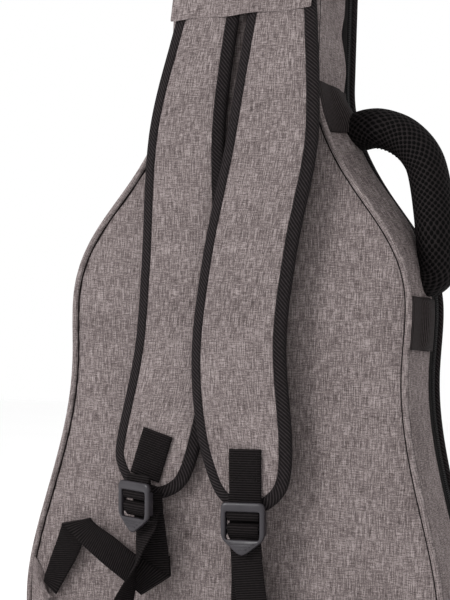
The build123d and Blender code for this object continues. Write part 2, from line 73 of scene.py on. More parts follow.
PAD_EDGES = {
    "left": (
        [(-60, 750), (-69, 703), (-92, 600), (-95, 470), (-99, 390), (-113, 312), (-115, 284), (-101, 257)],
        [(-64, 247), (-40, 262), (-26, 300), (-12, 380), (-7, 480), (-12, 600), (-2, 706), (1, 750)],
    ),
    "right": (
        [(8, 750), (5, 706), (-4, 600), (-24, 487), (-33, 392), (-25, 316), (-6, 262), (13, 244)],
        [(48, 244), (68, 266), (71, 310), (62, 400), (70, 488), (87, 595), (77, 704), (69, 750)],
    ),
}
PAD_TOP_Z = 746.0
PAD_MIDDLE_Y = {"left": -68.4, "right": -83.1}
PAD_HALF_THICK = 6.9
BINDING = 12.0
WEB = 32.0
WEB_THICK = 1.6
HANDLE_Y = -8.0
HANDLE_CENTRE = (113.5, 550.4)
HANDLE_R = 59.0
LOCK_HALF = 21.5


# ---- drawing helpers ----
def smooth(x):
    """Smooth step from 0 to 1 of x between 0 and 1."""
    t = np.clip(x, 0.0, 1.0)
    return t * t * (3 - 2 * t)


def wave(points, size, seed):
    """Soft noise from -1 to 1 at points in millimetres, with bumps about size across."""
    flat = np.asarray(points, float).reshape(-1, 3) / size
    values = [noise.noise(Vector(p) + Vector((seed, seed * 1.7, -seed))) for p in flat]
    return np.array(values).reshape(np.asarray(points).shape[:-1])


def catmull(points, per_span=10):
    """A smooth line through a few points."""
    p = np.array(points, float)
    p = np.vstack([2 * p[0] - p[1], p, 2 * p[-1] - p[-2]])
    line = []
    for i in range(1, len(p) - 2):
        for t in np.arange(per_span) / per_span:
            a = 2 * p[i]
            b = (p[i + 1] - p[i - 1]) * t
            c = (2 * p[i - 1] - 5 * p[i] + 4 * p[i + 1] - p[i + 2]) * t * t
            d = (-p[i - 1] + 3 * p[i] - 3 * p[i + 1] + p[i + 2]) * t ** 3
            line.append((a + b + c + d) / 2)
    line.append(p[-2])
    return np.array(line)


def resample(line, count, closed=False):
    """The same line with count points evenly spaced along it."""
    line = np.array(line, float)
    if closed:
        line = np.vstack([line, line[:1]])
    run = run_along(line)
    at = np.linspace(0, run[-1], count + 1)[:-1] if closed else np.linspace(0, run[-1], count)
    return np.stack([np.interp(at, run, line[:, k]) for k in range(line.shape[1])], axis=1)


def run_along(line):
    """The distance from the line's start to each of its points."""
    return np.concatenate([[0], np.cumsum(np.linalg.norm(np.diff(line, axis=0), axis=1))])


def curve(points, per_span, count):
    """count evenly spaced points on a smooth line through a few points."""
    return resample(catmull(points, per_span), count)


def tangents(line):
    """Directions of length 1 along a line."""
    steps = np.gradient(line, axis=0)
    return steps / np.linalg.norm(steps, axis=1)[:, None]


def upright(flat, y):
    """Points in space at depth y from flat ones, which hold x and z."""
    return np.stack([flat[..., 0], np.broadcast_to(y, flat.shape[:-1]), flat[..., 1]], axis=-1)


def distance_to(flat, edge):
    """How far each flat point is from the nearest point of an edge."""
    gaps = np.linalg.norm(flat.reshape(-1, 1, 2) - edge[None], axis=2)
    return np.min(gaps, axis=1).reshape(flat.shape[:-1])


def make_mesh(name, verts, faces, uvs=None, material=None, body=None, slot=None, replaced=(), level=0):
    """A smooth mesh object from points in millimetres, riding on a CAD body."""
    mesh = bpy.data.meshes.new(name)
    mesh.from_pydata((np.asarray(verts, float) * MM).tolist(), [], [list(f) for f in faces])
    mesh.validate()
    mesh.polygons.foreach_set("use_smooth", [True] * len(mesh.polygons))
    if uvs is not None:
        layer = mesh.uv_layers.new(name="UVMap")
        flat = np.asarray(uvs, float) * MM
        loops = np.zeros(len(mesh.loops), int)
        mesh.loops.foreach_get("vertex_index", loops)
        layer.data.foreach_set("uv", flat[loops].ravel())
    piece = bpy.data.objects.new(name, mesh)
    bpy.context.scene.collection.objects.link(piece)
    if material is not None:
        mesh.materials.append(material)
    if level:
        sub = piece.modifiers.new("finer", "SUBSURF")
        sub.levels = level
        sub.render_levels = level
    if body is not None:
        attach(piece, body)
    if replaced:
        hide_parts(*replaced)
    return piece


def grid_faces(rows, columns, wrap_rows=False, wrap_columns=False, flip=False):
    """Quads of a grid of points stored row by row."""
    faces = []
    for i in range(rows if wrap_rows else rows - 1):
        for j in range(columns if wrap_columns else columns - 1):
            a = i * columns + j
            b = i * columns + (j + 1) % columns
            c = ((i + 1) % rows) * columns + (j + 1) % columns
            d = ((i + 1) % rows) * columns + j
            faces.append((a, d, c, b) if flip else (a, b, c, d))
    return faces


def tube_faces(rows, columns):
    """Faces of a tube with both ends closed, whose rings are stored one after the other."""
    faces = grid_faces(rows, columns, wrap_columns=True, flip=True)
    faces.append(tuple(range(columns)))
    faces.append(tuple(reversed(range((rows - 1) * columns, rows * columns))))
    return faces


def prism_faces(start, rings, capped=True):
    """Faces round a stack of four-cornered rings from vertex start on, and the last ring's cap."""
    faces = grid_faces(rings, 4, wrap_columns=True)
    if capped:
        faces.append(tuple(range(4 * rings - 4, 4 * rings)))
    return [tuple(start + i for i in face) for face in faces]


def thicken(piece, thick):
    """Give a sheet its thickness, half of it to each side."""
    solid = piece.modifiers.new("thickness", "SOLIDIFY")
    solid.thickness = thick * MM
    solid.offset = 0.0


def grid_uvs(points):
    """UVs in millimetres of a grid: across the columns, and along the rows."""
    across = np.linalg.norm(np.diff(points, axis=1), axis=2)
    u = np.concatenate([np.zeros((points.shape[0], 1)), np.cumsum(across, axis=1)], axis=1)
    u -= u[:, -1:] / 2
    along = np.linalg.norm(np.diff(points, axis=0), axis=2).mean(axis=1)
    v = np.concatenate([[0], np.cumsum(along)])[:, None] + np.zeros_like(u)
    return np.stack([u, v], axis=-1).reshape(-1, 2)


def grid_piece(name, points, material, body, wrap_rows=False, flip=False, **facts):
    """A mesh object from a grid of points."""
    faces = grid_faces(*points.shape[:2], wrap_rows=wrap_rows, flip=flip)
    return make_mesh(name, points.reshape(-1, 3), faces, grid_uvs(points), material, body, **facts)


def frames_along(line, across):
    """Side and normal directions of a line in space, the side kept near the direction across."""
    line = np.asarray(line, float)
    tangent = tangents(line)
    side = np.broadcast_to(np.asarray(across, float), line.shape).copy()
    side -= tangent * np.sum(side * tangent, axis=1)[:, None]
    side /= np.linalg.norm(side, axis=1)[:, None]
    return side, np.cross(tangent, side)


def ribbon(name, line, across, width, thick, material, body, wobble=0.0, seed=1.0, **facts):
    """A flat webbing along a line, with rounded selvedges. across is one direction or one a point."""
    side, normal = frames_along(line, across)
    half_w, half_t = width / 2, thick / 2
    bottom = [(a, -half_t) for a in (-half_w + half_t, -half_w * 0.5, 0, half_w * 0.5, half_w - half_t)]
    profile = bottom + [(half_w, 0)] + [(a, half_t) for a, _ in bottom[::-1]] + [(-half_w, 0)]
    lift = wobble * wave(line, 22.0, seed)
    rings = []
    for i, point in enumerate(np.asarray(line, float)):
        rings.append([point + side[i] * a + normal[i] * (b + lift[i]) for a, b in profile])
    points = np.array(rings).reshape(-1, 3)
    uvs = [(a, along) for along in run_along(line) for a, _ in profile]
    return make_mesh(name, points, tube_faces(len(rings), len(profile)), uvs, material, body, **facts)


def tube(name, line, radius, material, body, sides=12, closed=False, **facts):
    """A round tube along a line; radius is one number, or a pair (side, normal) for each point."""
    across = (0, 1, 0)
    if closed:
        wrapped = np.vstack([line[-1:], line, line[:1]])
        side, normal = (found[1:-1] for found in frames_along(wrapped, across))
    else:
        side, normal = frames_along(line, across)
    radii = np.broadcast_to(np.asarray(radius, float), (len(line), 2))
    turns = np.linspace(0, 2 * math.pi, sides, endpoint=False)
    ring = [
        line[i] + side[i] * radii[i, 0] * math.cos(a) + normal[i] * radii[i, 1] * math.sin(a)
        for i in range(len(line))
        for a in turns
    ]
    if closed:
        faces = grid_faces(len(line), sides, wrap_rows=True, wrap_columns=True, flip=True)
    else:
        faces = tube_faces(len(line), sides)
    girth = 2 * math.pi * float(radii.mean())
    uvs = [(girth * k / sides, along) for along in run_along(line) for k in range(sides)]
    return make_mesh(name, ring, faces, uvs, material, body, **facts)


# ---- materials ----
def new_material(name, roughness, specular):
    material = bpy.data.materials.new(name)
    material.use_nodes = True
    shader = material.node_tree.nodes["Principled BSDF"]
    shader.inputs["Roughness"].default_value = roughness
    shader.inputs["Specular IOR Level"].default_value = specular
    return material, material.node_tree, shader


def add(tree, kind, **settings):
    """A new node with its properties and its sockets' values set."""
    node = tree.nodes.new(kind)
    for key, value in settings.items():
        if hasattr(node, key):
            setattr(node, key, value)
        else:
            node.inputs[key.replace("_", " ")].default_value = value
    return node


def math_node(tree, operation, a, b=None):
    node = add(tree, "ShaderNodeMath", operation=operation)
    for socket, value in zip(node.inputs, (a, b)):
        if isinstance(value, (int, float)):
            socket.default_value = value
        elif value is not None:
            tree.links.new(value, socket)
    return node.outputs[0]


def weighted(tree, *parts):
    """The weighted sum of sockets, each given with its weight."""
    total = None
    for socket, weight in parts:
        term = math_node(tree, "MULTIPLY", socket, weight)
        total = term if total is None else math_node(tree, "ADD", total, term)
    return total


def places(tree, kind):
    """Texture coordinates: UV, in metres along and across a cloth, or Object."""
    return add(tree, "ShaderNodeTexCoord").outputs[kind]


def soft_noise(tree, source, scale, detail=2.0, rough=0.6):
    """Noise; scale is how many grains a metre, as one number or as one for each axis."""
    mapping = add(tree, "ShaderNodeMapping", Scale=scale if np.ndim(scale) else (scale, scale, scale))
    tree.links.new(source, mapping.inputs["Vector"])
    grain = add(tree, "ShaderNodeTexNoise", Scale=1.0, Detail=detail, Roughness=rough)
    tree.links.new(mapping.outputs[0], grain.inputs["Vector"])
    return grain.outputs["Fac"]


def ramp(tree, factor, stops):
    node = add(tree, "ShaderNodeValToRGB")
    for _ in stops[2:]:
        node.color_ramp.elements.new(0.5)
    for element, (place, colour) in zip(node.color_ramp.elements, stops):
        element.position = place
        element.color = (*colour, 1.0)
    tree.links.new(factor, node.inputs[0])
    return node.outputs[0]


def colour_by(tree, shader, factor, stops):
    """Base colour from a ramp over a factor."""
    tree.links.new(ramp(tree, factor, stops), shader.inputs["Base Color"])


def bump(tree, shader, height, distance, strength=1.0):
    node = add(tree, "ShaderNodeBump", Strength=strength, Distance=distance)
    tree.links.new(height, node.inputs["Height"])
    tree.links.new(node.outputs[0], shader.inputs["Normal"])


def bands(tree, source, direction, scale, **settings):
    """A wave texture's parallel bands."""
    node = add(tree, "ShaderNodeTexWave", wave_type="BANDS", bands_direction=direction, Scale=scale, **settings)
    tree.links.new(source, node.inputs["Vector"])
    return node.outputs["Fac"]


def shade(tint, factor):
    return tuple(c * factor for c in tint)


def melange(name, dark, middle, light):
    """Grey two-tone plain weave: short light and dark yarn slubs both ways over a fine weave."""
    material, tree, shader = new_material(name, 0.95, specular=0.05)
    source = places(tree, "UV")
    weft = soft_noise(tree, source, (110, 1150, 110), detail=4.0, rough=0.72)
    warp = soft_noise(tree, source, (1050, 75, 1050), detail=4.0, rough=0.72)
    speck = soft_noise(tree, source, 900)
    broad = soft_noise(tree, source, 18, detail=3.0)
    yarns = weighted(tree, (weft, 0.36), (warp, 0.46))
    tone = math_node(tree, "ADD", yarns, weighted(tree, (speck, 0.18), (broad, 0.07)))
    colour_by(tree, shader, tone, [(0.453, dark), (0.535, middle), (0.617, light)])
    weave = math_node(tree, "MULTIPLY", bands(tree, source, "X", 900.0), bands(tree, source, "Y", 900.0))
    height = math_node(tree, "ADD", math_node(tree, "MULTIPLY", weave, 0.4), yarns)
    bump(tree, shader, height, 0.0006, 0.7)
    return material


def webbing_material(name, tint, pitch, direction="Y"):
    """Black woven strap: ribs in one direction at the given pitch, a fine twill, and worn specks. The colour is
    painted lighter on the rib crests and darker in their grooves, a painted highlight and shade, mixed with the
    worn specks.
    """
    material, tree, shader = new_material(name, 0.82, specular=0.06)
    source = places(tree, "UV")
    # a wave texture has about one band each 2 pi / (20 scale) along its axis
    scale = 2 * math.pi / (20 * pitch * MM)
    ribs = bands(tree, source, direction, scale, Distortion=0.6, Detail=1.0)
    fine = bands(tree, source, "X", scale * 2.2, Distortion=0.6, Detail=1.0)
    worn = soft_noise(tree, source, 300, detail=3.0)
    mixed = weighted(tree, (ribs, 0.55), (worn, 0.45))
    # painted highlight on the rib crests and painted shade in the grooves, mixed with real worn specks
    colour_by(tree, shader, mixed, [(0.15, shade(tint, 0.35)), (0.5, tint), (0.85, shade(tint, 2.6))])
    height = math_node(tree, "ADD", ribs, math_node(tree, "MULTIPLY", fine, 0.35))
    bump(tree, shader, height, 0.0009)
    return material


def mesh_material(name, tint, pitch):
    """Black spacer mesh: rows of round holes in a diagonal pattern, with painted shade in the holes and a painted
    highlight on the ridges between them.
    """
    material, tree, shader = new_material(name, 0.85, specular=0.06)
    mapping = add(tree, "ShaderNodeMapping", Rotation=(0, 0, math.radians(45)))
    tree.links.new(places(tree, "UV"), mapping.inputs["Vector"])
    holes = add(tree, "ShaderNodeTexVoronoi", feature="F1", Scale=1 / (pitch * MM), Randomness=0.12)
    tree.links.new(mapping.outputs[0], holes.inputs["Vector"])
    far = holes.outputs["Distance"]
    # holes painted dark as shade inside them, the ridges between painted lighter as highlight
    colour_by(tree, shader, far, [(0.25, shade(tint, 0.10)), (0.42, tint), (0.62, shade(tint, 1.9))])
    bump(tree, shader, ramp(tree, far, [(0.22, (0, 0, 0)), (0.42, (1, 1, 1))]), 0.0016)
    return material


def plastic(name, tint, roughness, grain=900.0, metallic=0.0, specular=0.3):
    """Moulded plastic or lacquered metal: fine grain and slight unevenness."""
    material, tree, shader = new_material(name, roughness, specular)
    shader.inputs["Metallic"].default_value = metallic
    source = places(tree, "Object")
    fine = soft_noise(tree, source, grain, detail=3.0)
    broad = soft_noise(tree, source, 60)
    mixed = weighted(tree, (fine, 0.4), (broad, 0.6))
    colour_by(tree, shader, mixed, [(0.3, shade(tint, 0.75)), (0.7, shade(tint, 1.25))])
    rough = ramp(tree, broad, [(0.3, (roughness * 0.85,) * 3), (0.7, (roughness * 1.2,) * 3)])
    tree.links.new(rough, shader.inputs["Roughness"])
    bump(tree, shader, fine, 0.00012, 0.5)
    return material


def plush(name, tint):
    """Soft lining: short dark pile with brushed patches."""
    material, tree, shader = new_material(name, 0.95, specular=0.03)
    source = places(tree, "Object")
    pile = soft_noise(tree, source, 900, detail=3.0)
    brushed = soft_noise(tree, source, 30, detail=3.0)
    mixed = weighted(tree, (pile, 0.5), (brushed, 0.5))
    colour_by(tree, shader, mixed, [(0.3, shade(tint, 0.6)), (0.7, shade(tint, 1.6))])
    bump(tree, shader, pile, 0.0008)
    return material


GREY_DARK, GREY, GREY_LIGHT = (0.060, 0.048, 0.047), (0.150, 0.123, 0.121), (0.33, 0.285, 0.280)
PIPING_GREY = (0.165, 0.137, 0.135)
cloth = melange("melange_cloth", GREY_DARK, GREY, GREY_LIGHT)
piping_cloth = melange("melange_piping", GREY_DARK, PIPING_GREY, GREY_LIGHT)
binding_tape = webbing_material("twill_binding", (0.014, 0.0115, 0.012), pitch=1.9, direction="DIAGONAL")
webbing = webbing_material("ribbed_webbing", (0.0075, 0.006, 0.0062), pitch=2.2)
band_webbing = webbing_material("band_webbing", (0.020, 0.016, 0.016), pitch=2.6)
zip_cloth = webbing_material("zip_tape_weave", (0.009, 0.0078, 0.008), pitch=1.1)
spacer_mesh = mesh_material("spacer_mesh", (0.0085, 0.007, 0.0072), pitch=4.3)
back_mesh = mesh_material("pad_back_mesh", (0.010, 0.0085, 0.009), pitch=3.0)
buckle_plastic = plastic("buckle_plastic", (0.022, 0.019, 0.023), 0.38, specular=0.35)
coil_plastic = plastic("coil_plastic", (0.010, 0.0095, 0.010), 0.45, specular=0.2)
lacquer = plastic("lacquered_zinc", (0.07, 0.07, 0.078), 0.30, metallic=0.8)
rubber = plastic("grained_rubber", (0.012, 0.0115, 0.012), 0.75, grain=400.0, specular=0.1)
lining_cloth = plush("soft_lining", (0.018, 0.018, 0.020))
thread = plastic("sewing_thread", (0.014, 0.012, 0.012), 0.7, specular=0.1)
# dark material of the tubes beside the back piping: painted shade of the seam grooves
seam_shadow = plastic("painted_seam_shade", (0.010, 0.008, 0.008), 0.9, specular=0.02)
pale_thread = plastic("grey_thread", (0.16, 0.14, 0.138), 0.8, specular=0.1)


# ---- the bag's outline ----
def side_line():
    """Half the outline, from the middle of the base to the middle of the head end, as points."""
    base_end, neck_from = SIDE_CURVES[0][0][0], SIDE_CURVES[-1][-1][1]
    points = [(x, 0.0) for x in np.linspace(0, base_end, 12)[:-1]]
    for a, b, c, d in (np.array(curve, float) for curve in SIDE_CURVES):
        for t in np.arange(24) / 24:
            back_to = 1 - t
            points.append(tuple(back_to ** 3 * a + 3 * t * back_to ** 2 * b + 3 * t * t * back_to * c + t ** 3 * d))
    points += [(NECK_HALF, z) for z in np.linspace(neck_from, HEIGHT - HEAD_CORNER, 30)]
    centre = (NECK_HALF - HEAD_CORNER, HEIGHT - HEAD_CORNER)
    for turn in np.linspace(0, math.pi / 2, 14)[1:]:
        points.append((centre[0] + HEAD_CORNER * math.cos(turn), centre[1] + HEAD_CORNER * math.sin(turn)))
    points += [(x, HEIGHT) for x in (10.0, 5.0, 0.0)]
    return np.array(points)


LOOP_POINTS = 640
half = side_line()
mirrored = half[::-1][1:-1] * np.array([-1, 1])
LOOP = resample(np.vstack([half, mirrored]), LOOP_POINTS, closed=True)
step_on = np.roll(LOOP, -1, axis=0) - np.roll(LOOP, 1, axis=0)
step_on /= np.linalg.norm(step_on, axis=1)[:, None]
INWARD = np.stack([-step_on[:, 1], step_on[:, 0]], axis=1)


def ring_at(inset, y):
    """The outline drawn in by inset, as points in space at depth y; both may vary along it."""
    return upright(LOOP + INWARD * np.broadcast_to(inset, len(LOOP))[:, None], y)


def half_width(z, inset):
    """Half the outline's width at height z, drawn in by inset."""
    right = LOOP[:, 0] > 0.01
    flat = (LOOP + INWARD * inset)[right]
    order = np.argsort(flat[:, 1])
    return np.interp(z, flat[order, 1], flat[order, 0])


def across_bag(heights, inset, sides):
    """Flat rows of points across the bag; sides are shares of its half width."""
    x = half_width(heights, inset)[:, None] * sides
    return np.stack([x, heights[:, None] + np.zeros_like(x)], axis=-1)


DENTS = 0.8


def panel(name, sign, y_edge, rise, material, body, inset=PANEL_INSET, seed=3.0, **facts):
    """A padded panel that rises from its seam within a thumb's width, with soft dents."""
    low, high, end = inset, HEIGHT - inset, 3.0
    ends = end * (1 - np.cos(np.linspace(0, math.pi / 2, 7)))[:-1]
    heights = np.concatenate([low + ends, np.linspace(low + end, high - end, 190), high - ends[::-1]])
    columns = 60
    sides = np.sin(np.linspace(-math.pi / 2, math.pi / 2, columns))
    sides = 0.55 * sides + 0.45 * np.linspace(-1, 1, columns)
    flat = across_bag(heights, inset, sides)
    edge = LOOP + INWARD * inset
    far = distance_to(flat, edge[::2])
    spots = upright(flat, 0.0)
    soft = wave(spots, 90.0, seed) * 0.65 + wave(spots, 34.0, seed + 5) * 0.35
    pull = np.exp(-far / 18.0) * wave(spots, 12.0, seed + 9) * 0.35
    rounded = y_edge + rise * (1 - np.exp(-far / 7.0))
    depth = rounded + DENTS * soft * smooth(far / 30.0) + pull * smooth(far / 4.0)
    return grid_piece(name, upright(flat, sign * depth), material, body, flip=sign > 0, **facts)


def at_base(loop):
    """The stretch of the base that the lid folds on."""
    return (loop[:, 1] < ZIP_END_Z) & (np.abs(loop[:, 0]) < ZIP_END_HALF)


def above_base(loop):
    """Where the zip runs: everywhere else."""
    return ~at_base(loop)


def kept_run(keep):
    """Which of the outline's points are kept, in order from the first one after a gap."""
    chosen = keep(LOOP)
    start = int(np.argmax(chosen & ~np.roll(chosen, 1)))
    order = np.roll(np.arange(len(LOOP)), -start)
    return order[chosen[order]]


def wall_piece(name, profile, material, body, ripple=0.0, seed=1.0, keep=None, fullness=None, **facts):
    """A band along the outline, or along the kept part of it. profile is a list of (inset, y)."""
    columns = []
    for k, (inset, y) in enumerate(profile):
        spots = ring_at(0.0, y)
        middle = math.sin(math.pi * k / (len(profile) - 1))
        dents = 0.6 + 0.8 * wave(spots, 55.0, seed) + 0.35 * wave(spots, 17.0, seed + 2)
        moved = inset - ripple * middle * dents
        if fullness is not None:
            moved = moved - fullness(LOOP, y)
        columns.append(ring_at(moved, y))
    points = np.stack(columns, axis=1)
    if keep is not None:
        points = points[kept_run(keep)]
    return grid_piece(name, points, material, body, wrap_rows=keep is None, **facts)


# sections of one stitch: how far along it, how high above the cloth and how wide, as shares
STITCH = [(-0.5, -0.9, 0.5), (-0.28, 0.3, 1.0), (0.0, 0.55, 1.1), (0.28, 0.3, 1.0), (0.5, -0.9, 0.5)]


def stitches(name, line, out, material, body, pitch=4.0, long=2.9, thick=0.55):
    """A row of sewn stitches lying on a surface along a line. out is its outward direction."""
    count = max(3, int(run_along(line)[-1] / pitch))
    points = resample(line, count)
    outs = np.broadcast_to(np.asarray(out, float), points.shape) if np.ndim(out) == 1 else resample(out, count)
    verts, faces = [], []
    for point, tangent, normal in zip(points, tangents(points), outs):
        normal = normal / np.linalg.norm(normal)
        side = np.cross(tangent, normal)
        side /= np.linalg.norm(side)
        faces += prism_faces(len(verts), len(STITCH), capped=False)
        for along, up, wide in STITCH:
            centre = point + tangent * along * long + normal * up * thick
            for turn in (0.0, 1.57, 3.14, 4.71):
                offset = side * math.cos(turn) * wide + normal * math.sin(turn) * wide
                verts.append(centre + offset * thick * 0.5)
    return make_mesh(name, verts, faces, None, material, body)


# ---- body of the bag ----
FACE_EDGE_Y, FACE_RISE = 56.4, 3.9
LINING_EDGE_Y, LINING_RISE, LINING_EDGE = 47.6, -1.2, 13.4
BACK_PIPING_R = 3.0
back = panel("back_panel", -1, FACE_EDGE_Y, FACE_RISE, cloth, "root", slot="melange_fabric",
             replaced=("back_outer_fabric", "back_foam"), level=1)
tube("back_panel_piping", ring_at(PIPING_R, -PIPING_Y), BACK_PIPING_R, piping_cloth, "root",
     closed=True, slot="piping_fabric", replaced=("back_piping",))
# dark tubes in the grooves beside the piping, on the panel's side and on the gusset's: painted shade of the seam
# grooves
for tag, inset, y, radius in (("inner", 6.6, -57.8, 0.85), ("outer", 3.0, -49.8, 0.8)):
    tube(f"back_piping_{tag}_seam", ring_at(inset, y), radius, seam_shadow, "root", sides=6, closed=True)
panel("inner_back_lining", -1, LINING_EDGE_Y, LINING_RISE, lining_cloth, "root", inset=LINING_EDGE, seed=7.0,
      slot="lining", replaced=("back_lining",))

CREST_BY_HANDLE, CREST_FAR_SIDE = 9.5, 5.0
SHOULDER_LOW_Z, SHOULDER_HIGH_Z = 450.0, 650.0
FOLD_Z, FOLD_RISE = 678.0, 3.4
DIP_Z, DIP_DEPTH = 722.0, 2.4


def crest(loop, y):
    """How far the gusset stands out: full over the shoulders, folded once at the neck by the handle."""
    depth = smooth((y + 50.0) / 45.0) * (1 - 0.7 * smooth((y - 2.0) / 24.0))
    shoulder = smooth((loop[:, 1] - SHOULDER_LOW_Z) / 70.0) * smooth((SHOULDER_HIGH_Z - loop[:, 1]) / 40.0)
    by_handle = loop[:, 0] > 0
    fold = by_handle * np.exp(-((loop[:, 1] - FOLD_Z + 0.35 * y) / 20.0) ** 2)
    dip = by_handle * np.exp(-((loop[:, 1] - DIP_Z + 0.5 * y) / 13.0) ** 2)
    full = np.where(by_handle, CREST_BY_HANDLE, CREST_FAR_SIDE)
    return full * depth * shoulder + smooth((y + 20.0) / 40.0) * (FOLD_RISE * fold - DIP_DEPTH * dip)


# the gusset turns in at both seams and is a little full between them
gusset_profile = [(6.2, -56.8), (4.2, -55.4), (SKIN_INSET, -52.0), (SKIN_INSET - 0.4, -44.0)]
gusset_profile += [(SKIN_INSET - 0.8, y) for y in (-34.0, -24.0, -14.0, -4.0, 6.0)]
gusset_profile += [(SKIN_INSET - 0.4, 16.0), (SKIN_INSET, 24.0), (SKIN_INSET + 0.1, 27.6), (SKIN_INSET + 1.2, 28.9)]
gusset = wall_piece("side_gusset", gusset_profile, cloth, "root", ripple=1.3, seed=4.0, fullness=crest,
                    slot="melange_fabric", replaced=("gusset_outer_fabric", "gusset_foam"), level=1)
lining_profile = [(SKIN_INSET + 1.4, 28.6), (7.0, 30.4), (11.0, 29.8), (LINING_INSET, 26.0)]
lining_profile += [(LINING_INSET + 0.6, y) for y in (14.0, 0.0, -14.0, -28.0)] + [(LINING_INSET, -47.0)]
wall_piece("side_lining", lining_profile, lining_cloth, "root", ripple=0.6, seed=6.0, slot="lining",
           replaced=("gusset_lining",), level=1)


ZIP_PITCH = 2.0
# corners of one coil tooth in three rings: along the zip, towards the other coil, and outwards
TOOTH = [(-0.7, -0.7, -0.9), (0.7, -0.7, -0.9), (0.7, 0.7, -0.9), (-0.7, 0.7, -0.9),
         (-0.45, -0.95, 0.5), (0.45, -0.95, 0.5), (0.5, 0.55, 0.7), (-0.5, 0.55, 0.7),
         (-0.3, -0.4, 1.15), (0.3, -0.4, 1.15), (0.3, 0.3, 1.15), (-0.3, 0.3, 1.15)]


def zip_half(tag, body, y_from, sign):
    """One side of the main zip, from its seam at y_from: its tape and the coil's teeth."""
    inset = SKIN_INSET + 0.2
    steps = np.linspace(y_from, COIL_Y + 1.3 * sign, 6)
    profile = [(inset + 0.9 * math.cos(math.pi * k / 5) ** 2, y) for k, y in enumerate(steps)]
    wall_piece("zip_tape_" + tag, profile, zip_cloth, body, ripple=0.4, seed=8.0, keep=above_base,
               slot="zip_tape", replaced=("zip_tape_" + tag + "_side",))
    run = kept_run(above_base)
    path = ring_at(SKIN_INSET - 0.2, COIL_Y + 1.1 * sign)[run]
    outs = upright(-INWARD, 0.0)[run]
    count = int(run_along(path)[-1] / ZIP_PITCH)
    line, out = resample(path, count), resample(outs, count)
    tangent = tangents(line)
    depth = np.array([0, sign, 0])
    verts, faces = [], []
    for i in range(count):
        faces += prism_faces(len(verts), 3)
        for along, across, up in TOOTH:
            verts.append(line[i] + tangent[i] * along + depth * across * 0.95 + out[i] * up)
    make_mesh("zip_teeth_" + tag, verts, faces, None, coil_plastic, body, slot="zip_coil",
              replaced=("zip_coil_" + tag + "_side",))


zip_half("body", "root", GUSSET_FRONT_Y, -1)
zip_half("lid", "lid", 56.6, 1)

# strip of body cloth at the base, where the lid folds
hinge_profile = [(SKIN_INSET + 0.6, 27.6), (SKIN_INSET, 34.0), (SKIN_INSET, 44.0), (SKIN_INSET + 0.2, 55.0)]
fold_strip = wall_piece("base_fold_strip", hinge_profile, cloth, None, keep=at_base, slot="melange_fabric",
                        replaced=("base_hinge_strip",))
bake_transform(fold_strip)


# ---- the lid, with its pocket ----
front = panel("front_panel", 1, FACE_EDGE_Y, FACE_RISE, cloth, "lid", seed=13.0, slot="melange_fabric",
              replaced=("front_outer_fabric", "front_foam"), level=1)
tube("front_panel_piping", ring_at(PIPING_R, PIPING_Y), PIPING_R, binding_tape, "lid",
     closed=True, slot="piping_fabric", replaced=("front_piping",))
panel("inner_front_lining", 1, LINING_EDGE_Y, LINING_RISE, lining_cloth, "lid", inset=LINING_EDGE, seed=17.0,
      slot="lining", replaced=("front_lining",))
rim_profile = [(SKIN_INSET + 1.2, 54.6), (8.0, 52.6), (LINING_INSET, 47.2)]
wall_piece("lid_inner_rim", rim_profile, lining_cloth, "lid", slot="lining")

POCKET_INSET, POCKET_LOW, POCKET_HIGH = 34.0, 36.0, 396.0
POCKET_ZIP_Z, POCKET_ZIP_HALF = 411.0, 127.5
# corners of one tooth of the pocket's coil in two rings: along the zip, from its middle, and outwards
POCKET_TOOTH = [(-0.7, 0.2, 0), (0.7, 0.2, 0), (0.7, 1.9, 0), (-0.7, 1.9, 0),
                (-0.4, 0.0, 1.1), (0.4, 0.0, 1.1), (0.4, 1.5, 1.0), (-0.4, 1.5, 1.0)]


def pocket_outline(inset):
    """Closed outline of the pocket, as x and z."""
    heights = np.linspace(POCKET_LOW + inset, POCKET_HIGH - inset, 80)
    right = np.stack([half_width(heights, POCKET_INSET + inset), heights], axis=1)
    line = np.vstack([right, right[::-1] * np.array([-1, 1])])
    return resample(line, 220, closed=True)


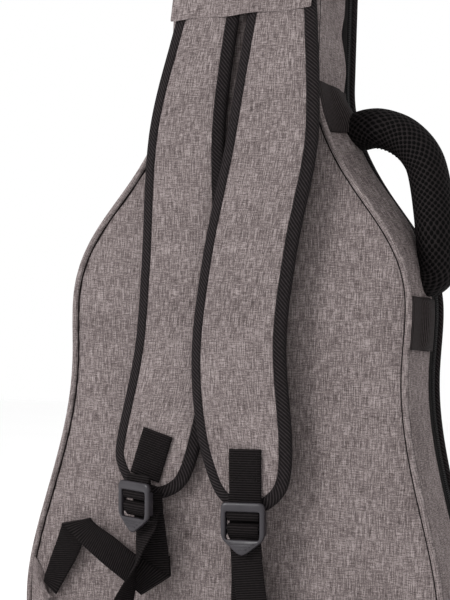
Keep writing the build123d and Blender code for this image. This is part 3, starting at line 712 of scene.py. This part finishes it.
def pocket():
    """The flat front pocket: a panel with a gusseted edge, piping, and its zip above."""
    heights = np.linspace(POCKET_LOW + 3, POCKET_HIGH - 3, 70)
    sides = np.linspace(-1, 1, 50)
    flat = across_bag(heights, POCKET_INSET + 3, sides)
    far = distance_to(flat, pocket_outline(3.0))
    dents = 0.9 * wave(upright(flat, 0.0), 60.0, 21.0) * smooth(far / 25.0)
    depth = 61.4 + 4.6 * (1 - np.exp(-far / 8.0)) + dents
    made = grid_piece("pocket_front", upright(flat, depth), cloth, "lid", flip=True, slot="melange_fabric",
                      replaced=("pocket_panel",), level=1)
    tube("pocket_edge_piping", upright(pocket_outline(1.4), 62.9), 2.0, piping_cloth, "lid", closed=True,
         slot="piping_fabric", replaced=("pocket_piping",))
    tape = np.array([(x, 62.0, POCKET_ZIP_Z) for x in np.linspace(-POCKET_ZIP_HALF, POCKET_ZIP_HALF, 60)])
    ribbon("pocket_zip_band", tape, (0, 0, 1), 26.0, 1.4, zip_cloth, "lid", slot="zip_tape",
           replaced=("pocket_zip_tape",))
    verts, faces = [], []
    for x in np.arange(-123.0, 123.5, ZIP_PITCH):
        for side in (-1, 1):
            faces += prism_faces(len(verts), 2)
            # the two rows of teeth are half a pitch apart
            shift = 0.5 * side
            for along, across, out in POCKET_TOOTH:
                verts.append((x + along + shift, 62.6 + out, POCKET_ZIP_Z + side * across))
    make_mesh("pocket_zip_teeth", verts, faces, None, coil_plastic, "lid", slot="zip_coil",
              replaced=("pocket_zip_coil",))
    for tag, side in (("upper", 1), ("lower", -1)):
        seam = np.array([(x, 62.8, POCKET_ZIP_Z + 10.0 * side) for x in np.linspace(-125, 125, 40)])
        stitches("pocket_zip_stitching_" + tag, seam, (0, 1, 0), thread, "lid")


pocket()


# ---- shoulder straps ----
PAD_END_Y = -65.0
PAD_DIPS_FROM = {"left": 690.0, "right": 600.0}
PAD_EDGE_HALF = 3.3
PAD_FLAT_FROM = 690.0


def pad_contour(side):
    """The pad's edge: down its left side, round its lower end and up its right side."""
    left, right = PAD_EDGES[side]
    line = np.vstack([catmull(left, 16), catmull(right, 16)])
    soft = resample(line[line[:, 1] <= PAD_TOP_Z], 420)
    for _ in range(12):
        soft[1:-1] = (soft[:-2] + 2 * soft[1:-1] + soft[2:]) / 4
    return soft


def pad_middle(side, z):
    """Depth of the pad's middle plane, which comes down to the panel at the sewn end."""
    base, start = PAD_MIDDLE_Y[side], PAD_DIPS_FROM[side]
    return base + (PAD_END_Y - base) * smooth((np.asarray(z, float) - start) / (PAD_TOP_Z - start))


def pad_half(z, far):
    """Half the pad's thickness, by the distance from its edge; it is flat at its sewn end."""
    plump = PAD_EDGE_HALF + (PAD_HALF_THICK - PAD_EDGE_HALF) * (1 - np.exp(-np.maximum(far - 5.0, 0) / 6.5))
    seam = -0.55 * np.exp(-((far - BINDING) / 1.3) ** 2)
    flat = 1 - 0.62 * smooth((np.asarray(z, float) - PAD_FLAT_FROM) / (PAD_TOP_Z - PAD_FLAT_FROM))
    return (plump + seam) * flat


def pad_pieces(side):
    """Face, back mesh and binding of one strap pad, and its stitching."""
    body = "strap_" + side
    contour = pad_contour(side)
    step = tangents(contour)
    inward = np.stack([-step[:, 1], step[:, 0]], axis=1)
    seed = 31.0 if side == "left" else 47.0

    def at(inset):
        moved = contour + inward * inset
        moved[:, 1] = np.minimum(moved[:, 1], PAD_TOP_Z)
        return moved

    def surface(sign, inset):
        rows, columns = 150, 26
        edge = resample(at(inset), 2 * rows)
        left, right = edge[:rows], edge[rows:][::-1]
        u = np.linspace(0, 1, columns)
        flat = left[:, None] * (1 - u[:, None]) + right[:, None] * u[:, None]
        far = distance_to(flat, contour)
        spots = upright(flat, 0.0)
        soft = wave(spots, 48.0, seed) * 0.8 + wave(spots, 17.0, seed + 3) * 0.25
        thick = pad_half(flat[..., 1], far) + soft * 0.55 * smooth((far - BINDING) / 12)
        return upright(flat, pad_middle(side, flat[..., 1]) + sign * thick)

    face = grid_piece(body + "_face", surface(-1, BINDING - 1.5), cloth, body, slot="melange_fabric",
                      replaced=(body + "_face_fabric", body + "_foam"), level=1)
    grid_piece(body + "_mesh_back", surface(1, BINDING - 1.5), back_mesh, body, flip=True, slot="air_mesh",
               replaced=(body + "_air_mesh",), level=1)
    # the binding folds over the edge: front leaf, round the edge, back leaf; its sections are
    # pairs of how far in from the edge and how high above the pad
    sections = [(BINDING, 0.15), (BINDING - 0.3, 0.85), (10.0, 0.9), (7.0, 0.9), (4.0, 0.9), (1.6, 0.7)]
    rings = []
    for sign, order in ((-1, sections), (1, sections[::-1])):
        for inset, lift in order:
            flat = at(inset)
            far = np.full(len(flat), inset)
            edge_round = math.sqrt(max(0.0, 1 - (1 - min(inset, 4.0) / 4.0) ** 2))
            thick = (pad_half(flat[:, 1], far) + lift) * edge_round
            pucker = 0.22 * wave(upright(flat, sign * 9.0), 7.0, seed + 8)
            rings.append(upright(flat, pad_middle(side, flat[:, 1]) + sign * (thick + pucker)))
        if sign < 0:
            flat = at(0.0)
            rings.append(upright(flat, pad_middle(side, flat[:, 1])))
    grid_piece(body + "_edge_binding", np.stack(rings, axis=1), binding_tape, body, flip=True,
               slot="binding_tape", replaced=(body + "_binding",), level=1)
    flat = at(BINDING - 1.6)
    far = np.full(len(flat), BINDING - 1.6)
    y = pad_middle(side, flat[:, 1]) - pad_half(flat[:, 1], far) - 1.0
    stitches(body + "_binding_stitching", upright(flat, y), (0, -1, 0), thread, body, pitch=4.2, thick=0.45)


for side in ("left", "right"):
    pad_pieces(side)

# cloth edge over the seam where both pads are sewn in; its hem lies out over the pads
YOKE_HEM, YOKE_SLOPE, YOKE_TOP, YOKE_HALF = 710.0, 0.045, 785.0, 71.0
YOKE_Y = -60.9


def yoke_grid():
    """The cloth from its top seam down to its hem, out over both pads near the hem."""
    rows = []
    for t in np.linspace(0, 1, 30):
        row = []
        for x in np.linspace(-YOKE_HALF, YOKE_HALF, 48):
            hem = YOKE_HEM + YOKE_SLOPE * x + 0.8 * math.sin(x / 9.0)
            z = hem + (YOKE_TOP - hem) * t
            side = smooth((x + 6.0) / 10.0)
            front = [pad_middle(s, z) - pad_half(z, 20.0) for s in ("left", "right")]
            over = smooth((75.8 - abs(x)) / 5.0) * smooth((752.0 - z) / 6.0)
            pads = (-61.7 - front[0] * (1 - side) - front[1] * side) * over
            lift = 1.6 * smooth((YOKE_TOP - z) / 4.0) * (0.4 + 0.6 * over)
            row.append((x, YOKE_Y - lift - pads, z))
        rows.append(row)
    return np.array(rows)


yoke = grid_piece("yoke_patch", yoke_grid(), cloth, None, slot="melange_fabric", replaced=("strap_yoke",), level=1)
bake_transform(yoke)
seam = np.array([(x, -62.3, YOKE_TOP - 3.0) for x in np.linspace(-65, 65, 30)])
stitches("yoke_stitching", seam, (0, -1, 0), pale_thread, "root")


# ---- buckles and their webbing ----
# where each tab folds round its buckle's loop, and how buckle and tab hang, in degrees
FOLD_AT = {"left": (-79.3, 269.0), "right": (29.5, 257.0)}
TAB_LEAN = {"left": -16.0, "right": 2.0}
LOCK_LEAN = {"left": -2.0, "right": 2.0}
LOCK_YAW = {"left": -24.0, "right": 0.0}
LOCK_PITCH = {"left": -5.0, "right": 0.0}
FOLD_Y = {"left": -77.1, "right": -91.8}
TAB_LONG = 45.0
BAR_Y, FIXED_BAR_Z, ADJUST_BAR_Z = -2.6, -16.5, -27.0


def strap_end(side):
    """Frame of the fold line that the buckle hangs from, in millimetres."""
    x, z = FOLD_AT[side]
    shift = Matrix.Translation((LOCK_HALF, 0, 0))
    yaw = shift.inverted() @ Matrix.Rotation(math.radians(LOCK_YAW[side]), 4, "Z") @ shift
    lean = Matrix.Rotation(math.radians(-LOCK_LEAN[side]), 4, "Y")
    pitch = Matrix.Rotation(math.radians(-LOCK_PITCH[side]), 4, "X")
    return Matrix.Translation((x, FOLD_Y[side], z)) @ lean @ yaw @ pitch


def placed(matrix, points):
    """Points moved by a matrix."""
    return np.array([tuple(matrix @ Vector(p)) for p in np.asarray(points, float).reshape(-1, 3)])


def lean_side(side):
    """Direction across the leaning tab."""
    return (math.cos(math.radians(TAB_LEAN[side])), 0, math.sin(math.radians(TAB_LEAN[side])))


def buckle_webbing(side):
    """The tab sewn to the pad, with its box stitching, and the loop round the buckle's fixed bar."""
    body, lock = "strap_" + side, "ladderlock_" + side
    lean = math.radians(TAB_LEAN[side])
    up = np.array([-math.sin(lean), 0, math.cos(lean)])
    foot = np.array([FOLD_AT[side][0], FOLD_Y[side], FOLD_AT[side][1]])
    tab = [foot + up * d + np.array([0, 0.4 * math.sin(d / 7.0), 0]) for d in np.linspace(TAB_LONG, 0, 26)]
    ribbon(body + "_tab", np.array(tab), lean_side(side), WEB, 3.0, webbing, body, slot="webbing",
           replaced=(body + "_tab_webbing",), wobble=0.3)
    # box stitching with its cross, as places across and up the tab
    corners = [(-12, 16), (12, 16), (12, 40), (-12, 40), (-12, 16), (12, 40), (12, 16), (-12, 40)]
    repeated = 5
    spots = [foot + up * d + np.array(lean_side(side)) * a + np.array([0, -1.9, 0]) for a, d in corners]
    for k, (a, b) in enumerate(zip(spots, spots[1:])):
        if k != repeated:
            stitches(f"{body}_box_stitch_{k}", np.linspace(a, b, 12), (0, -1, 0), thread, body,
                     pitch=2.6, long=2.0, thick=0.4)
    matrix = strap_end(side)
    loop = [(0, -0.2, 3.0), (0, -0.9, -1.0), (0, -2.0, -6.0), (0, -5.4, -11.5), (0, -6.3, -15.5)]
    round_bar = 3.4
    for turn in np.linspace(math.radians(200), math.radians(340), 7):
        loop.append((0, BAR_Y + round_bar * math.cos(turn), FIXED_BAR_Z + round_bar * math.sin(turn)))
    loop += [(0, 0.9, -14.0), (0, 1.2, -9.0), (0, 1.2, -3.0), (0, 0.9, 2.0)]
    line = curve(placed(matrix, loop), 8, 60)
    across = tuple(matrix.to_3x3() @ Vector((1, 0, 0)))
    ribbon(body + "_buckle_loop_webbing", line, across, WEB, 1.5, webbing, lock, slot="webbing",
           replaced=(body + "_buckle_loop",))


def bar_along_x(radius, z, y, half):
    """Rounded bar along X in the buckle's own frame."""
    count, sides = 14, 12
    points = [(x, y + radius * math.cos(turn), z + radius * math.sin(turn))
              for x in np.linspace(-half, half, count)
              for turn in np.linspace(0, 2 * math.pi, sides, endpoint=False)]
    faces = grid_faces(count, sides, wrap_columns=True)
    faces.append(tuple(reversed(range(sides))))
    faces.append(tuple(range((count - 1) * sides, count * sides)))
    return points, faces


def add_bar(verts, faces, *facts):
    """Join a bar to a mesh's lists of vertices and faces."""
    points, more = bar_along_x(*facts)
    faces += [tuple(i + len(verts) for i in f) for f in more]
    verts += points


def ladderlock(side):
    """The moulded buckle: a rim with rounded edges, a pointed lever, two bars and two cheeks."""
    right = [(16.5, -3.5), (19.8, -4.5), (21.3, -7.5), (21.5, -20.0), (21.2, -33.0), (19.6, -37.6), (15.5, -41.4)]
    right += [(9.0, -46.4), (4.0, -50.0)]
    outer = [(-16.5, -3.5), (0, -3.5)] + right + [(0, -51.4)] + [(-x, z) for x, z in right[:0:-1]]
    inner = [(-16.0, -12.0), (0, -12.0), (16.0, -12.0), (16.8, -13.0), (16.8, -22.0), (16.8, -35.6), (15.6, -37.5)]
    inner += [(10.0, -37.5), (4.0, -37.5), (0, -37.5), (-4.0, -37.5), (-10.0, -37.5), (-15.6, -37.5)]
    inner += [(-16.8, -35.6), (-16.8, -22.0), (-16.8, -13.0)]
    outer, inner = (resample(np.array(p), 96, closed=True) for p in (outer, inner))
    front, rear = BAR_Y - 5.5, BAR_Y - 1.5
    lip_from, lip_out = -38.0, 2.0
    rings = []
    # round the rim's section, from the outer outline at share 0 to the inner one at share 1
    for share, y in ((0.0, rear), (0.0, rear - 1.2), (0.0, front + 1.3), (0.10, front + 0.35), (0.26, front),
                     (0.55, front - 0.25), (0.80, front), (0.93, front + 0.4), (1.0, front + 1.2),
                     (1.0, rear - 1.2), (1.0, rear)):
        flat = outer * (1 - share) + inner * share
        # the lever's lip bends outwards, away from the bag
        lip = lip_out * smooth((lip_from - flat[:, 1]) / 13.0)
        rings.append(np.stack([flat[:, 0], y - lip, flat[:, 1]], axis=1))
    points = np.stack(rings, axis=0)
    verts = [tuple(p) for p in points.reshape(-1, 3)]
    faces = grid_faces(*points.shape[:2], wrap_rows=True, wrap_columns=True, flip=True)
    bars = [(2.1, FIXED_BAR_Z, BAR_Y, LOCK_HALF - 0.5), (2.1, ADJUST_BAR_Z, BAR_Y, LOCK_HALF - 0.5)]
    # grip ribs on the lever
    ribs = []
    for z in (-41.0, -43.4, -45.8):
        lip = lip_out * float(smooth((lip_from - z) / 13.0))
        ribs.append((0.55, z, front - 0.15 - lip, 16.0 - (lip_from - z) * 1.45))
    for facts in bars:
        add_bar(verts, faces, *facts)
    low, high = -33.5, -12.0
    for sign in (-1, 1):
        start = len(verts)
        for y, drawn in ((BAR_Y - 2.0, 0.0), (BAR_Y + 1.6, 0.0), (BAR_Y + 2.4, 0.7)):
            for x, z in ((16.9 + drawn, low + drawn), (21.4 - drawn, low + drawn),
                         (21.4 - drawn, high - drawn), (16.9 + drawn, high - drawn)):
                verts.append((sign * x, y, z))
        cheek = grid_faces(3, 4, wrap_columns=True, flip=sign < 0) + [(8, 9, 10, 11)]
        faces += [tuple(i + start for i in f) for f in cheek]
    for facts in ribs:
        add_bar(verts, faces, *facts)
    make_mesh("ladderlock_" + side + "_buckle", placed(strap_end(side), verts), faces, None, buckle_plastic,
              "ladderlock_" + side, slot="buckle_plastic", replaced=("ladderlock_" + side,))


# the webbing's free tail, from the buckle down, and how many degrees it is turned along its length
TAILS = {
    "left": [(-72.5, -80.5, 238.0), (-73.0, -82.5, 224.0), (-75.5, -87.0, 209.0), (-78.5, -89.5, 194.0),
             (-84.5, -89.0, 174.0), (-92.0, -87.0, 153.0), (-98.0, -85.0, 134.0)],
    "right": [(31.0, -92.6, 226.0), (33.0, -93.6, 208.0), (36.5, -93.0, 184.0), (40.0, -91.5, 160.0),
              (43.0, -92.5, 136.0), (46.0, -93.0, 106.0)],
}
TWISTS = {"left": [24, 30, 52, 70, 92, 108, 112], "right": [0, 2, 6, 4, 0, -3]}
# the adjusting webbing from behind the buckle down to the panel
RUNS = {
    "left": [(-77.0, -74.0, 253.0), (-75.5, -74.2, 238.0), (-73.0, -73.8, 222.0), (-69.5, -73.0, 200.0),
             (-66.5, -72.4, 176.0)],
    "right": [(28.8, -87.6, 242.0), (28.2, -86.0, 228.0), (27.0, -78.0, 208.0), (26.5, -71.6, 180.0),
              (26.5, -71.4, 140.0), (26.0, -71.4, 92.0)],
}
# the folded webbing on the back panel, as pairs of edge points with their depth: from under
# the buckle, over the lower fold, over the upper fold, and into the wing in the seam
FOLDS = {
    "left": [((-81.5, 190.0), (-52.5, 196.0), -71.6), ((-81.0, 170.0), (-52.0, 184.0), -70.6),
             ((-80.3, 157.7), (-51.5, 177.0), -71.8), ((-84.5, 160.0), (-57.0, 180.0), -73.4),
             ((-98.6, 169.5), (-87.4, 195.0), -74.6), ((-121.0, 184.0), (-110.0, 209.5), -75.4),
             ((-143.8, 199.5), (-129.0, 219.5), -74.4), ((-164.0, 215.0), (-136.0, 224.5), -73.0),
             ((-168.7, 218.0), (-136.8, 225.0), -71.6), ((-169.6, 215.5), (-138.5, 221.0), -70.2),
             ((-174.0, 202.0), (-145.0, 204.0), -69.6), ((-180.5, 184.0), (-152.0, 187.0), -69.2),
             ((-186.3, 166.8), (-163.5, 167.0), -68.4), ((-188.0, 160.0), (-174.1, 148.3), -67.4)],
    "right": [((10.5, 122.0), (41.5, 124.0), -71.4), ((11.0, 96.0), (42.0, 104.0), -70.6),
              ((11.0, 80.0), (42.0, 94.0), -71.8), ((16.0, 81.0), (46.0, 96.0), -73.2),
              ((66.0, 82.0), (66.0, 112.0), -74.6), ((110.0, 86.0), (106.0, 116.0), -73.8),
              ((150.0, 98.0), (140.0, 127.0), -71.6), ((184.0, 112.0), (174.0, 141.0), -68.6)],
}


def turned_sides(line, along, angles):
    """Width directions along a line that turn with the webbing's twist."""
    spread = np.interp(np.linspace(0, 1, len(line)), np.linspace(0, 1, len(angles)), angles)
    side, normal = frames_along(line, along)
    turn = np.radians(spread)[:, None]
    return side * np.cos(turn) + normal * np.sin(turn)


def folded_runs(side):
    """The adjusting webbing on the back panel: one strip, folded flat at each turn."""
    rows = np.array([[(a[0], y, a[1]), (b[0], y, b[1])] for a, b, y in FOLDS[side]], float)
    first, last = (catmull(rows[:, k], 6) for k in (0, 1))
    across = np.linspace(0, 1, 9)[None, :, None]
    points = first[:, None] * (1 - across) + last[:, None] * across
    points[..., 1] += 0.35 * wave(points, 24.0, 61.0)
    made = grid_piece(f"strap_{side}_folded_run", points, webbing, "root", slot="webbing")
    thicken(made, WEB_THICK)


def adjusting_webbing(side):
    """The webbing from the side seam up to the buckle, round its adjusting bar, and its free tail."""
    line = curve(RUNS[side], 12, 60)
    down = ribbon(f"strap_{side}_adjusting_webbing", line, (1, 0, 0), WEB - 1, WEB_THICK, webbing, None,
                  wobble=0.4, seed=51.0, slot="webbing", replaced=(f"strap_{side}_anchor_webbing",))
    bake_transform(down)
    folded_runs(side)
    matrix = strap_end(side)
    across = tuple(matrix.to_3x3() @ Vector((1, 0, 0)))
    wrap = [(0, 1.4, -33.0), (0, 0.4, -30.6), (0, 1.0, -27.0), (0, -0.6, -23.9), (0, -3.0, -23.4)]
    wrap += [(0, -5.6, -25.0), (0, -6.0, -27.6), (0, -5.0, -31.0), (0, -1.4, -36.0)]
    turn = curve(placed(matrix, wrap), 8, 50)
    ribbon(f"strap_{side}_adjuster_turn", turn, across, WEB - 1, 1.5, webbing, "ladderlock_" + side, slot="webbing")
    tail = curve(TAILS[side], 14, 80)
    sides = turned_sides(tail, (1, 0, 0), TWISTS[side])
    ribbon(f"strap_{side}_tail", tail, sides, WEB - 1, WEB_THICK, webbing, "ladderlock_" + side,
           wobble=0.8, seed=53.0, slot="webbing", replaced=(f"strap_{side}_webbing_tail",))


WING_DROP = 92.0


def wing(side, sign, tip, top):
    """Folded cloth triangle in the side seam that holds the end of the webbing."""
    root_top, root_low = (sign * 206.0, top), (sign * 204.0, top - WING_DROP)
    rows = []
    for t in np.linspace(0, 1, 24):
        seam = np.array([root_top[0] + (root_low[0] - root_top[0]) * t, top - WING_DROP * t])
        reach = 1 - abs(2 * t - 0.87) ** 1.5 * 0.75
        edge = seam + (np.array(tip) - seam) * np.clip(reach, 0.25, 1)
        arch = math.sin(math.pi * t)
        row = []
        for u in np.linspace(0, 1, 14):
            spot = seam * (1 - u) + edge * u
            puff = 2.4 * math.sin(math.pi * u) * arch
            row.append((spot[0], -59.6 - 11.0 * smooth(u * 1.6) * smooth(arch * 1.6) - puff, spot[1]))
        rows.append(row)
    grid_piece("side_wing_" + side, np.array(rows), cloth, "root", flip=sign > 0, slot="melange_fabric",
               replaced=("wing_tab_" + side,), level=1)


for side in ("left", "right"):
    buckle_webbing(side)
    ladderlock(side)
    adjusting_webbing(side)
wing("left", -1, (-176, 146), 186.0)
wing("right", 1, (174, 118), 158.0)


# ---- carry handle ----
# half sizes of the grip and of its flattened ends
GRIP_WIDE, GRIP_THICK = 23.0, 19.0
END_WIDE, END_THICK = 16.0, 11.0
BAND_HIGH = 48.0


def handle_route():
    """Centreline of the handle, from under the lower band to under the upper band."""
    x, z = HANDLE_CENTRE
    turns = np.radians((10, 34, 58, 82, 104))
    circle = [(x + HANDLE_R * math.cos(turn), z + HANDLE_R * math.sin(turn)) for turn in turns]
    points = [(150.0, 467.0), (165.0, 466.0), (179.0, 478.0), (179.0, 515.0)] + circle
    points += [(84.0, 602.0), (70.0, 600.0)]
    route = curve([(x, HANDLE_Y, z) for x, z in points], 14, 150)
    share = np.linspace(0, 1, len(route))
    # both ends lean a little towards the lid
    route[:, 1] += 20.0 * (1 - smooth(np.minimum(share / 0.30, (1 - share) / 0.26)))
    return route


def handle():
    """Padded grip in spacer mesh, thinner where its ends are sewn under the bands."""
    line = handle_route()
    share = np.linspace(0, 1, len(line))
    full = smooth(np.minimum(share / 0.09, (1 - share) / 0.11))
    closed = smooth(np.minimum(share / 0.03, (1 - share) / 0.03))
    wide = (END_WIDE + (GRIP_WIDE - END_WIDE) * full) * (0.6 + 0.4 * closed) + 0.4 * wave(line, 20.0, 71.0)
    thick = (END_THICK + (GRIP_THICK - END_THICK) * full) * (0.5 + 0.5 * closed) + 0.4 * wave(line, 26.0, 73.0)
    grip = tube("handle_grip", line, np.stack([wide, thick], axis=1), spacer_mesh, "carry_handle",
                sides=40, slot="air_mesh", replaced=("handle_mesh_sleeve", "handle_foam_core", "handle_webbing"))
    # the sleeve's seam runs along the inside of the bend
    inward = np.array([HANDLE_CENTRE[0], HANDLE_Y, HANDLE_CENTRE[1] - 20]) - line
    inward /= np.linalg.norm(inward, axis=1)[:, None]
    seam = line + inward * (thick + 0.1)[:, None]
    stitches("handle_seam", seam[14:-14], inward[14:-14], thread, "carry_handle", pitch=4.0, thick=0.6)


def band(tag, place, angle):
    """Webbing across the gusset, over one end of the handle."""
    near = int(np.argmin(np.linalg.norm(LOOP - np.array(place), axis=1)))
    # along the outline, the way that the angle points
    along = np.array([-INWARD[near][1], INWARD[near][0]])
    if along @ (math.cos(math.radians(angle)), math.sin(math.radians(angle))) < 0:
        along = -along
    rows = []
    for y in np.linspace(GUSSET_BACK_Y + 0.4, GUSSET_FRONT_Y, 34):
        lift = 5.6 * math.exp(-((y - HANDLE_Y) / 15.0) ** 4)
        edge = 2.0 - 1.6 * smooth(1 - min(y - GUSSET_BACK_Y, GUSSET_FRONT_Y - y) / 6.0)
        row = []
        for s in np.linspace(-BAND_HIGH / 2, BAND_HIGH / 2, 22):
            i = int(np.argmin(np.linalg.norm(LOOP - (LOOP[near] + along * s), axis=1)))
            full = float(crest(LOOP[i:i + 1], y)[0])
            rise = lift * smooth((BAND_HIGH / 2 - abs(s)) / 9.0 + 0.35)
            spot = LOOP[i] + INWARD[i] * (SKIN_INSET - 0.8 - edge - full - rise)
            row.append((spot[0], y, spot[1]))
        rows.append(row)
    points = np.array(rows).transpose(1, 0, 2)
    for _ in range(2):
        points[1:-1] = (points[:-2] + 2 * points[1:-1] + points[2:]) / 4
    # the ribs run along the webbing, so the two directions of its coordinates change places
    uvs = grid_uvs(points)[:, ::-1]
    made = make_mesh("side_band_" + tag, points.reshape(-1, 3), grid_faces(*points.shape[:2]), uvs,
                     band_webbing, "root", slot="webbing", replaced=("handle_band_" + tag,))
    thicken(made, WEB_THICK)


handle()
band("upper", (80.0, 623.0), -66.0)
band("lower", (172.0, 424.0), -88.0)


# ---- inside, base, hang loop and sliders ----
REST_LOW, REST_HIGH, REST_HALF = 690.0, 760.0, 56.0
REST_FLOOR_Y, REST_TOP_Y, GROOVE_Y, GROOVE_HALF = -47.0, -20.5, -40.5, 31.0


def neck_rest():
    """Soft block inside the bag with a groove for the guitar's neck."""
    rows = []
    for z in np.linspace(REST_LOW, REST_HIGH, 22):
        end = float(smooth(min(z - REST_LOW, REST_HIGH - z) / 8.0))
        row = []
        for x in np.linspace(-REST_HALF, REST_HALF, 44):
            top = GROOVE_Y if abs(x) < GROOVE_HALF else REST_TOP_Y
            side_round = float(smooth((REST_HALF - abs(x)) / 7.0))
            row.append((x, REST_FLOOR_Y + (top - REST_FLOOR_Y) * end * side_round, z))
        rows.append(row)
    made = grid_piece("neck_rest", np.array(rows), lining_cloth, "root", slot="lining",
                      replaced=("neck_rest_cushion",), level=1)


LOOP_Y = -13.0


def hang_loop():
    """Webbing folded into a drop, sewn in at the head end."""
    foot = HEIGHT - SKIN_INSET
    drop = [(0.0, -3.0), (2.6, 3.0), (6.5, 18.0), (10.6, 34.0), (11.5, 44.0), (8.2, 52.4), (0.0, 56.0)]
    line = [(0, LOOP_Y + y, foot + z) for y, z in drop] + [(0, LOOP_Y - y, foot + z) for y, z in drop[-2::-1]]
    ribbon("head_hang_loop", curve(line, 8, 70), (1, 0, 0), 25.0, 2.0, webbing, "hang_loop",
           slot="webbing", replaced=("hang_loop",))


neck_rest()
hang_loop()
# CAD nodes that stay as they are, in materials of their own
metal = ("zip_slider_upper", "zip_slider_lower", "zip_puller_upper", "zip_puller_lower", "pocket_slider",
         "pocket_puller")
for name, material in [("base_patch", rubber)] + [(name, lacquer) for name in metal]:
    nodes[name].data.materials.clear()
    nodes[name].data.materials.append(material)


# ---- floor, light and camera ----
def floor_material():
    material, tree, shader = new_material("pale_floor", 0.9, specular=0.1)
    tone = soft_noise(tree, places(tree, "Object"), 0.6)
    colour_by(tree, shader, tone, [(0.3, (0.965, 0.965, 0.965)), (0.7, (0.985, 0.985, 0.985))])
    return material


FLOOR_HALF = 9000
floor_corners = [(x * FLOOR_HALF, y * FLOOR_HALF, 0) for x, y in ((-1, -1), (1, -1), (1, 1), (-1, 1))]
floor = make_mesh("floor", floor_corners, [(0, 1, 2, 3)], None, floor_material())

world = bpy.data.worlds.new("studio")
world.use_nodes = True
world.node_tree.nodes["Background"].inputs["Color"].default_value = (1.0, 1.0, 1.0, 1.0)
world.node_tree.nodes["Background"].inputs["Strength"].default_value = 1.0
bpy.context.scene.world = world


def area_light(name, place, target, size, energy):
    data = bpy.data.lights.new(name, "AREA")
    data.size = size
    data.energy = energy
    lamp = bpy.data.objects.new(name, data)
    bpy.context.scene.collection.objects.link(lamp)
    lamp.location = place
    lamp.rotation_mode = "QUATERNION"
    lamp.rotation_quaternion = (Vector(target) - Vector(place)).to_track_quat("-Z", "Y")


# the light and the camera are placed in metres
area_light("key", (-1.6, -2.1, 1.7), (0, 0, 0.5), size=0.9, energy=62.0)
bpy.context.scene.view_settings.view_transform = "Standard"

AZIMUTH, ELEVATION, ROLL = math.radians(22), math.radians(-2), math.radians(2)
TARGET, DISTANCE, VIEW_HEIGHT = Vector((-0.010, -0.060, 0.440)), 1.5, 0.570
SENSOR_MM = 36.0
camera_data = bpy.data.cameras.new("camera")
camera_data.sensor_fit = "VERTICAL"
camera_data.sensor_height = SENSOR_MM
camera_data.lens = SENSOR_MM * DISTANCE / VIEW_HEIGHT
camera = bpy.data.objects.new("camera", camera_data)
bpy.context.scene.collection.objects.link(camera)
level = math.cos(ELEVATION)
away = Vector((math.sin(AZIMUTH) * level, -math.cos(AZIMUTH) * level, math.sin(ELEVATION)))
camera.location = TARGET + away * DISTANCE
camera.rotation_mode = "QUATERNION"
level_view = (-away).to_track_quat("-Z", "Y")
camera.rotation_quaternion = level_view @ Matrix.Rotation(ROLL, 3, "Z").to_quaternion()
bpy.context.scene.camera = camera
